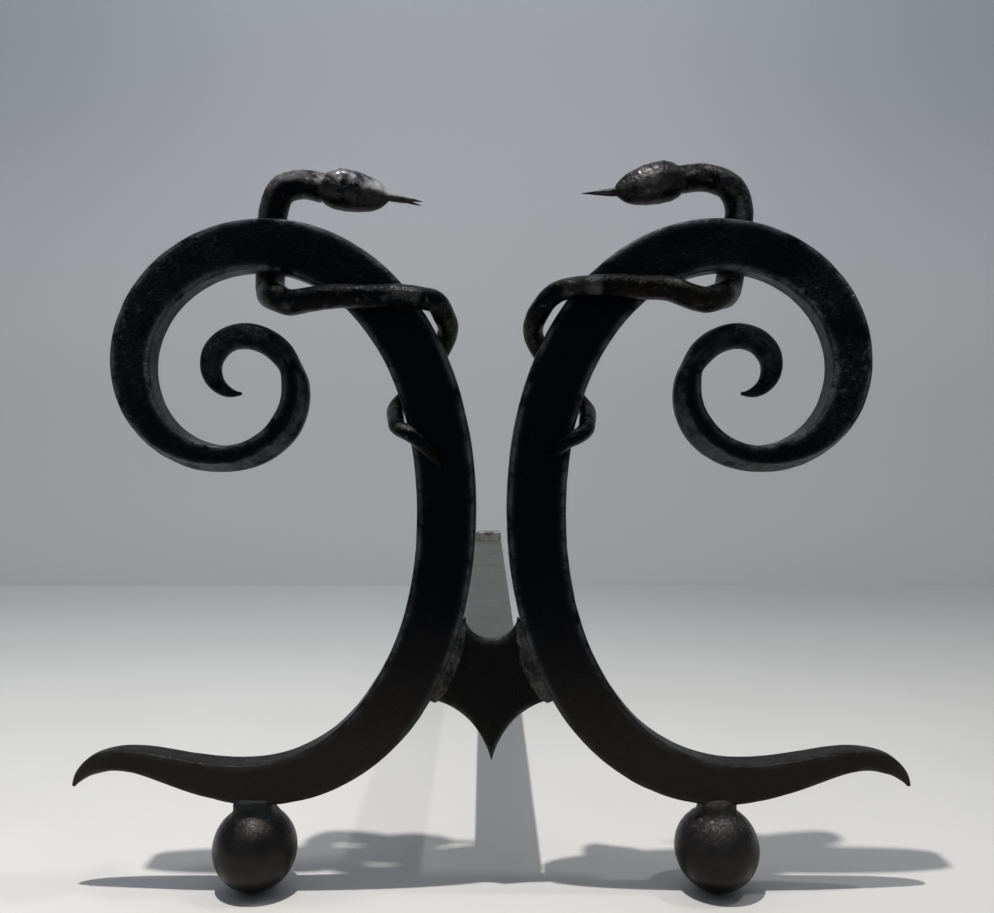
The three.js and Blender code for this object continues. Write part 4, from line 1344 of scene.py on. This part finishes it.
@dataclass
class SideWeld:
    """A rough weld bead down the corner between web and scroll, laid in short overlapping pools."""

    side: Side
    web: WebPlate
    face: int
    leg_low: float
    leg_high: float
    seed: int
    depth: float = 4.45
    lap: float = 1.5
    pool_run: float = 5.5

    def build(self, finish: bpy.types.Material) -> None:
        """Makes the bead in its node's place.

        Its section falls from the scroll's front to the web by 1 - s^1.7 over its leg; leg and depth
        swell and shrink with the pools, by the sine of the way along in pools, and with a rough noise.
        """
        web, rows, around = self.web, 150, 30
        share = np.linspace(0.0, 1.0, rows)
        stations = web.shoulder_station + 0.3 + (web.top_station - web.shoulder_station + 1.6) * share
        inner = web.side_line(stations, -self.lap)
        out = web.side_line(stations, 1.0) - inner
        out /= np.linalg.norm(out, axis=-1, keepdims=True)
        pools = 40.0 / self.pool_run * np.pi
        pools = 0.5 + 0.5 * np.sin(share * pools + 3.0 * np.sin(share * 7.0) + self.seed)
        ends = np.sqrt(np.clip(np.sin(np.pi * (0.02 + 0.96 * share)), 0.0, 1.0)) ** 0.7
        leg = (self.leg_low + (self.leg_high - self.leg_low) * share) * (0.9 + 0.1 * pools) * ends
        depth = self.depth * (0.92 + 0.08 * pools) * ends
        down = np.sin(np.linspace(0.0, np.pi / 2, around - 6))
        arc = np.stack([down, 1.0 - down ** 1.7], axis=-1)
        back = np.stack([np.linspace(1.0, 0.0, 8)[1:-1], np.full(6, -0.15)], axis=-1)
        section = np.concatenate([arc, back])
        aside = (leg[:, None] + self.lap) * section[:, 0]
        rise = depth[:, None] * section[:, 1]
        front = np.where(section[:, 1] >= 0, 1.0, 0.0)
        flat = inner[:, None] + out[:, None] * aside[..., None]
        level = self.face * (web.thickness / 2 + rise)
        rings = np.stack([flat[..., 0], np.broadcast_to(level, flat.shape[:2]), flat[..., 1]], axis=-1)
        coarse = rolling_noise(rings + 500.0, 3.1, self.seed)
        wander = coarse + 0.5 * rolling_noise(rings + 500.0, 1.3, self.seed + 1)
        thick = front * np.clip(rise / 1.5, 0.0, 1.0) * np.clip(aside / 2.5, 0.15, 1.0)
        rings[..., 1] -= self.face * np.clip(0.6 * (wander + 0.9), 0.0, None) * thick
        rings[..., 1] += web.bar.place[1]
        skin = tube_skin(rings, np.clip(0.6 + 0.4 * wander, 0.0, 1.0), np.full(rings.shape[:2], 0.5))
        word, where = self.side.word, "front" if self.face < 0 else "back"
        forged_piece(f"{word}_{where}_bead", skin.on(self.side), finish, f"{word}_weld_{where}")


# ---------------------------------------------------------------- log bar and rear leg


@dataclass
class StraightBar:
    """A straight length of flat bar: its frame, its ends along it, its dents and its spread near end."""

    name: str
    node: str
    start: float
    stop: float
    along: int
    middle: tuple[float, float]
    width: float = 29.6
    thickness: float = 15.0
    arris: float = 1.6
    bevel: float = 0.0
    bevel_run: float = 6.0
    spread: float = 0.0
    spread_runs: tuple[float, float] = (220.0, 420.0)
    rub_and_sheen_runs: tuple[float, float] = (22.0, 16.0)
    seed: int = 80

    def skin(self) -> Skin:
        """The bar's rounded rectangle carried along Y (axis 1) or Z (axis 2), bevelled at its start.

        The near end's left half is spread in width, by `spread` up to the first of `spread_runs` and
        by nothing from the second. An upright is rubbed by the logs near its top, where a sheen is
        painted on in the burnished tone, over the runs given below its top.
        """
        run = self.stop - self.start
        bevel_run, last = self.bevel_run, run - 2.0
        place = np.unique(np.concatenate([
            np.linspace(0.0, bevel_run, 9), np.linspace(bevel_run, last, int(run / 2.2)),
            last + np.linspace(0, 2, 6)]))
        thick = self.thickness - self.bevel * np.clip(1.0 - place / bevel_run, 0.0, 1.0)
        eased = np.sqrt(np.clip((run - place) / 1.2, 0.0, 1.0))
        shrink = 1.0 - 0.9 * (1.0 - eased)
        arris = np.minimum(self.arris, 0.45 * thick)
        section, near = bar_section(np.full(len(place), self.width) - 2 + 2 * shrink,
                                    thick - 2 + 2 * shrink, arris, arris, face=30)
        level = (self.start + place)[:, None] + np.zeros(section.shape[:2])
        if self.along == 1:
            rings = np.stack([section[..., 0], level, section[..., 1] + self.middle[1]], axis=-1)
        else:
            rings = np.stack([section[..., 0], section[..., 1] + self.middle[1], level], axis=-1)
        whole, none = self.spread_runs
        swell = self.spread * np.clip((none - place) / (none - whole), 0.0, 1.0)[:, None]
        rings[..., 0] += swell * np.minimum(rings[..., 0], 0.0) / (self.width / 2)
        worked = hammered(rings, near, 0.16, 13.0, self.seed)
        solid = np.clip((place / 3.0), 0.0, 1.0) * np.clip((run - place) / 3.0, 0.0, 1.0)
        # Painted sheen: the upright's top band takes the burnished tone, partly as rubbing by the logs.
        if self.along == 2:
            start, full = self.rub_and_sheen_runs
            rubbed = np.clip((place - run + start) / (start - full), 0.0, 1.0)
            near = np.maximum(0.15 * near, rubbed[:, None])
        return tube_skin(rings + (worked - rings) * solid[:, None, None], near)

    def build(self, finish: bpy.types.Material) -> None:
        """Makes the bar in its node's place."""
        forged_piece(self.name, self.skin(), finish, self.node)


@dataclass
class CrossWeld:
    """A weld bead across the log bar, fitted to its node's box."""

    name: str
    node: str
    section: tuple[tuple[float, float], ...]
    seed: int

    def build(self, finish: bpy.types.Material) -> None:
        """Makes the bead: its section, given in shares of the node's box, carried along X in pools."""
        low, high = (np.array(corner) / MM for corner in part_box(self.node))
        outline = np.array(self.section + self.section[:1])
        at = np.linspace(0.0, len(self.section), 28, endpoint=False)
        shape = np.stack([np.interp(at, np.arange(len(outline)), outline[:, k]) for k in range(2)], axis=-1)
        share = np.linspace(0.0, 1.0, 110)
        ends = 0.25 + 0.75 * np.clip(np.sin(np.pi * share) * 6.0, 0.0, 1.0) ** 0.5
        pools = 0.86 + 0.14 * np.abs(np.sin(share * 8.5 * np.pi))
        centre = shape.mean(axis=0)
        grown = centre + (shape - centre) * (ends * pools)[:, None, None]
        x = low[0] + (high[0] - low[0]) * share
        rings = np.stack([
            np.broadcast_to(x[:, None], grown.shape[:2]),
            low[1] + (high[1] - low[1]) * grown[..., 0],
            low[2] + (high[2] - low[2]) * grown[..., 1],
        ], axis=-1)
        rough = 0.5 + 0.5 * rolling_noise(rings + 600.0, 1.4, self.seed)
        middle = rings.mean(axis=1, keepdims=True)
        rings = middle + (rings - middle) * (1.0 - 0.12 * rough)[..., None]
        skin = tube_skin(rings, np.full(rings.shape[:2], 0.5))
        forged_piece(self.name, skin, finish, self.node)


# ---------------------------------------------------------------- stage and light


@dataclass(frozen=True)
class Lamp:
    """A round studio lamp: where it is, what it points at, how wide and how strong it is."""

    name: str
    place: tuple[float, float, float]
    target: tuple[float, float, float]
    size: float
    power: float
    colour: tuple[float, float, float] = (1.0, 0.985, 0.96)

    def build(self) -> None:
        """Makes the lamp, turned to its target."""
        light = bpy.data.lights.new(self.name, "AREA")
        light.shape = "DISK"
        light.size = self.size
        light.energy = self.power
        light.color = self.colour
        lamp = bpy.data.objects.new(self.name, light)
        lamp.location = self.place
        lamp.rotation_euler = (Vector(self.target) - Vector(self.place)).to_track_quat("-Z", "Y").to_euler()
        bpy.context.scene.collection.objects.link(lamp)


@dataclass
class Studio:
    """Pale floor, pale wall that shows only from its front, lamps, ambient light and the camera."""

    eye: tuple[float, float, float] = (-0.0029, -0.7761, 0.226)
    lens: float = 34.7
    sensor: float = 36.0
    shift: tuple[float, float] = (11.5 / 994, -24.5 / 994)
    reach: float = 4.0
    wall: float = 0.63
    wall_height: float = 2.6
    lamps: tuple[Lamp, ...] = (
        Lamp("key_lamp", (-0.24, -0.552, 2.4), (0.0, -0.1, 0.0), 0.05, 41.0),
        Lamp("side_lamp", (1.34, -0.35, 2.4), (0.0, 0.0, 0.0), 0.1, 9.5),
    )

    def camera(self) -> None:
        """A level camera before the front, shifted a little to frame as the photograph does."""
        data = bpy.data.cameras.new("camera")
        data.sensor_width = self.sensor
        data.lens = self.lens
        data.shift_x, data.shift_y = self.shift
        data.clip_start = 0.02
        camera = bpy.data.objects.new("camera", data)
        camera.location = self.eye
        camera.rotation_euler = (math.pi / 2, 0.0, 0.0)
        bpy.context.scene.collection.objects.link(camera)
        bpy.context.scene.camera = camera

    def sheet(self, name: str, corners: list[tuple[float, float, float]],
              material: bpy.types.Material) -> None:
        """A flat four-cornered sheet of the stage."""
        mesh = bpy.data.meshes.new(name)
        mesh.from_pydata(corners, [], [(0, 1, 2, 3)])
        mesh.materials.append(material)
        sheet = bpy.data.objects.new(name, mesh)
        bpy.context.scene.collection.objects.link(sheet)
        sheet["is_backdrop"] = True

    def floor_material(self) -> bpy.types.Material:
        """Painted floor with painted light: near white in front, painted greyer towards the wall as the
        lamps' falloff, and a little darker to the right as painted shade.
        """
        material = bpy.data.materials.new("floor_paint_painted_falloff")
        material.use_nodes = True
        bench = NodeBench(material.node_tree)
        shader = material.node_tree.nodes["Principled BSDF"]
        place = bench.add("ShaderNodeTexCoord").outputs["Object"]
        axes = bench.add("ShaderNodeSeparateXYZ")
        bench.join(place, axes.inputs[0])
        clouds = bench.add("ShaderNodeTexNoise", in_Scale=5.0, in_Detail=3.0)
        bench.join(place, clouds.inputs["Vector"])
        front = bench.blend(bench.ramp(clouds.outputs["Fac"], 0.35, 0.65),
                            (0.775, 0.76, 0.725, 1.0), (0.81, 0.795, 0.765, 1.0))
        # Painted light: the colour greys towards the wall in place of the lamps' falloff, and darkens a
        # little to the right as painted shade.
        colour = bench.blend(bench.ramp(axes.outputs["Y"], -0.4, 0.62), front, (0.40, 0.42, 0.425, 1.0))
        painted_side_shade = bench.ramp(axes.outputs["X"], -0.25, 0.5)
        colour = bench.blend(bench.sum_of("MULTIPLY", painted_side_shade, 0.17), colour, (0.0, 0.0, 0.0, 1.0))
        bench.join(colour, shader.inputs["Base Color"])
        shader.inputs["Roughness"].default_value = 0.55
        shader.inputs["Specular IOR Level"].default_value = 0.3
        return material

    def wall_material(self) -> bpy.types.Material:
        """Lilac-grey wall paint with painted shade, darker to its top, its top corners and a little to the
        right, and painted lighter towards the floor; from behind it lets everything through.
        """
        material = bpy.data.materials.new("wall_paint_painted_shade")
        material.use_nodes = True
        bench = NodeBench(material.node_tree)
        tree = material.node_tree
        shader = tree.nodes["Principled BSDF"]
        axes = bench.add("ShaderNodeSeparateXYZ")
        bench.join(bench.add("ShaderNodeTexCoord").outputs["Object"], axes.inputs[0])
        # Painted shade: darker towards the top, into the top corners and a little to the right.
        high = bench.sum_of("MULTIPLY", bench.ramp(axes.outputs["Z"], 0.35, 0.9), 0.27)
        aside = bench.ramp(bench.sum_of("ABSOLUTE", axes.outputs["X"], 0.0), 0.15, 0.8)
        corner = bench.sum_of("MULTIPLY", aside, bench.ramp(axes.outputs["Z"], 0.3, 0.8))
        corner = bench.sum_of("MULTIPLY", corner, 0.14)
        right = bench.sum_of("MULTIPLY", bench.ramp(axes.outputs["X"], 0.0, 0.8), 0.01)
        painted_wall_shade = bench.sum_of("ADD", bench.sum_of("ADD", high, corner), right, clamp=True)
        # Painted light: the paint is lighter towards the floor.
        paint = bench.blend(bench.ramp(axes.outputs["Z"], 0.0, 0.34),
                            (0.625, 0.64, 0.66, 1.0), (0.525, 0.54, 0.57, 1.0))
        bench.join(bench.blend(painted_wall_shade, paint, (0.0, 0.05, 0.12, 1.0)), shader.inputs["Base Color"])
        shader.inputs["Roughness"].default_value = 0.9
        shader.inputs["Specular IOR Level"].default_value = 0.2
        clear = bench.add("ShaderNodeBsdfTransparent")
        mix = bench.add("ShaderNodeMixShader")
        bench.join(bench.add("ShaderNodeNewGeometry").outputs["Backfacing"], mix.inputs[0])
        bench.join(shader.outputs[0], mix.inputs[1])
        bench.join(clear.outputs[0], mix.inputs[2])
        bench.join(mix.outputs[0], tree.nodes["Material Output"].inputs["Surface"])
        return material

    def world(self) -> None:
        """Dim light, most from above and least from the front; camera and metal see a pale grey."""
        world = bpy.data.worlds.new("room")
        bpy.context.scene.world = world
        world.use_nodes = True
        tree = world.node_tree
        bench = NodeBench(tree)
        dim = tree.nodes["Background"]
        axes = bench.add("ShaderNodeSeparateXYZ")
        bench.join(bench.add("ShaderNodeTexCoord").outputs["Generated"], axes.inputs[0])
        overhead = bench.blend(bench.ramp(axes.outputs["Z"], 0.15, 0.95),
                               (0.22, 0.228, 0.247, 1.0), (0.48, 0.515, 0.585, 1.0))
        front = bench.ramp(bench.sum_of("MULTIPLY", axes.outputs["Y"], -1.0), 0.1, 0.65)
        bench.join(bench.blend(front, overhead, (0.011, 0.014, 0.02, 1.0)), dim.inputs["Color"])
        seen = bench.add("ShaderNodeBackground", in_Color=(0.36, 0.375, 0.41, 1.0))
        mix = bench.add("ShaderNodeMixShader")
        path = bench.add("ShaderNodeLightPath").outputs
        shown = bench.sum_of("MAXIMUM", path["Is Camera Ray"], path["Is Glossy Ray"])
        bench.join(bench.sum_of("MAXIMUM", shown, path["Is Transmission Ray"]), mix.inputs[0])
        bench.join(dim.outputs[0], mix.inputs[1])
        bench.join(seen.outputs[0], mix.inputs[2])
        bench.join(mix.outputs[0], tree.nodes["World Output"].inputs["Surface"])

    def build(self) -> None:
        """Makes the camera, the stage and the lights."""
        self.camera()
        far, wall, height = self.reach, self.wall, self.wall_height
        self.sheet("floor", [(-far, -far, 0), (far, -far, 0), (far, far, 0), (-far, far, 0)],
                   self.floor_material())
        self.sheet("wall", [(-far, wall, 0), (far, wall, 0), (far, wall, height), (-far, wall, height)],
                   self.wall_material())
        for lamp in self.lamps:
            lamp.build()
        self.world()
        bpy.context.scene.view_settings.view_transform = "Standard"


# ---------------------------------------------------------------- the whole scene


def main() -> None:
    """Builds the stage, then the andiron from its scrolls to its rear leg."""
    logging.basicConfig(level=logging.INFO, format="%(name)s: %(message)s")
    Studio().build()
    patina, relief = patina_group(), relief_group()
    bar_iron, plate_iron, serpent_iron, ball_iron, weld_iron, log_iron, leg_iron = (
        finish.material(patina, relief)
        for finish in (BAR_IRON, PLATE_IRON, SERPENT_IRON, BALL_IRON, WELD_IRON, LOG_IRON, LEG_IRON))
    bar = ForgedBar()
    for side, form in ((Side.LEFT, LEFT_FORM), (Side.RIGHT, RIGHT_FORM)):
        Scroll(side, bar).build(bar_iron)
        serpent = Serpent(side, bar, form)
        serpent.build(serpent_iron)
        Tongue(serpent).build(serpent_iron)
        BallFoot(side).build(ball_iron, weld_iron)
    web = WebPlate(bar)
    web.build(plate_iron)
    for side, face, leg_low, leg_high, seed in (
            (Side.LEFT, -1, 6.6, 4.2, 70), (Side.RIGHT, -1, 8.0, 4.6, 73),
            (Side.LEFT, 1, 5.6, 4.2, 76), (Side.RIGHT, 1, 5.6, 4.2, 79)):
        SideWeld(side, web, face, leg_low, leg_high, seed).build(weld_iron)
    low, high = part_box("log_bar")
    StraightBar("long_log_bar", "log_bar", low.y / MM, high.y / MM, 1,
                (0.0, (low.z + high.z) / 2 / MM), bevel=10.0, spread=2.6).build(log_iron)
    low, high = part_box("rear_leg")
    StraightBar("upright_rear_leg", "rear_leg", 0.0, high.z / MM, 2,
                (0.0, (low.y + high.y) / 2 / MM), seed=84).build(leg_iron)
    for name, node, section, seed in (
            ("upper_bevel_bead", "log_bar_weld_upper", ((0, 0), (1, 0.55), (0.5, 0.86), (0, 1)), 90),
            ("lower_bevel_bead", "log_bar_weld_lower", ((0, 0), (0.5, 0.14), (1, 0.45), (0, 1)), 91),
            ("leg_bead", "rear_leg_weld", ((0, 1), (1, 1), (1, 0), (0.62, 0.6)), 92)):
        CrossWeld(name, node, section, seed).build(weld_iron)
    dressed = {"bar_iron": bar_iron, "serpent_iron": serpent_iron, "ball_iron": ball_iron,
               "weld_iron": weld_iron}
    for part in frame["record"]["subparts"]:
        node = frame["nodes"][part["node"]]
        node.data.materials.clear()
        node.data.materials.append(dressed[part["material_slot"]])
    low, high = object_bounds()


if __name__ == "__main__":
    main()
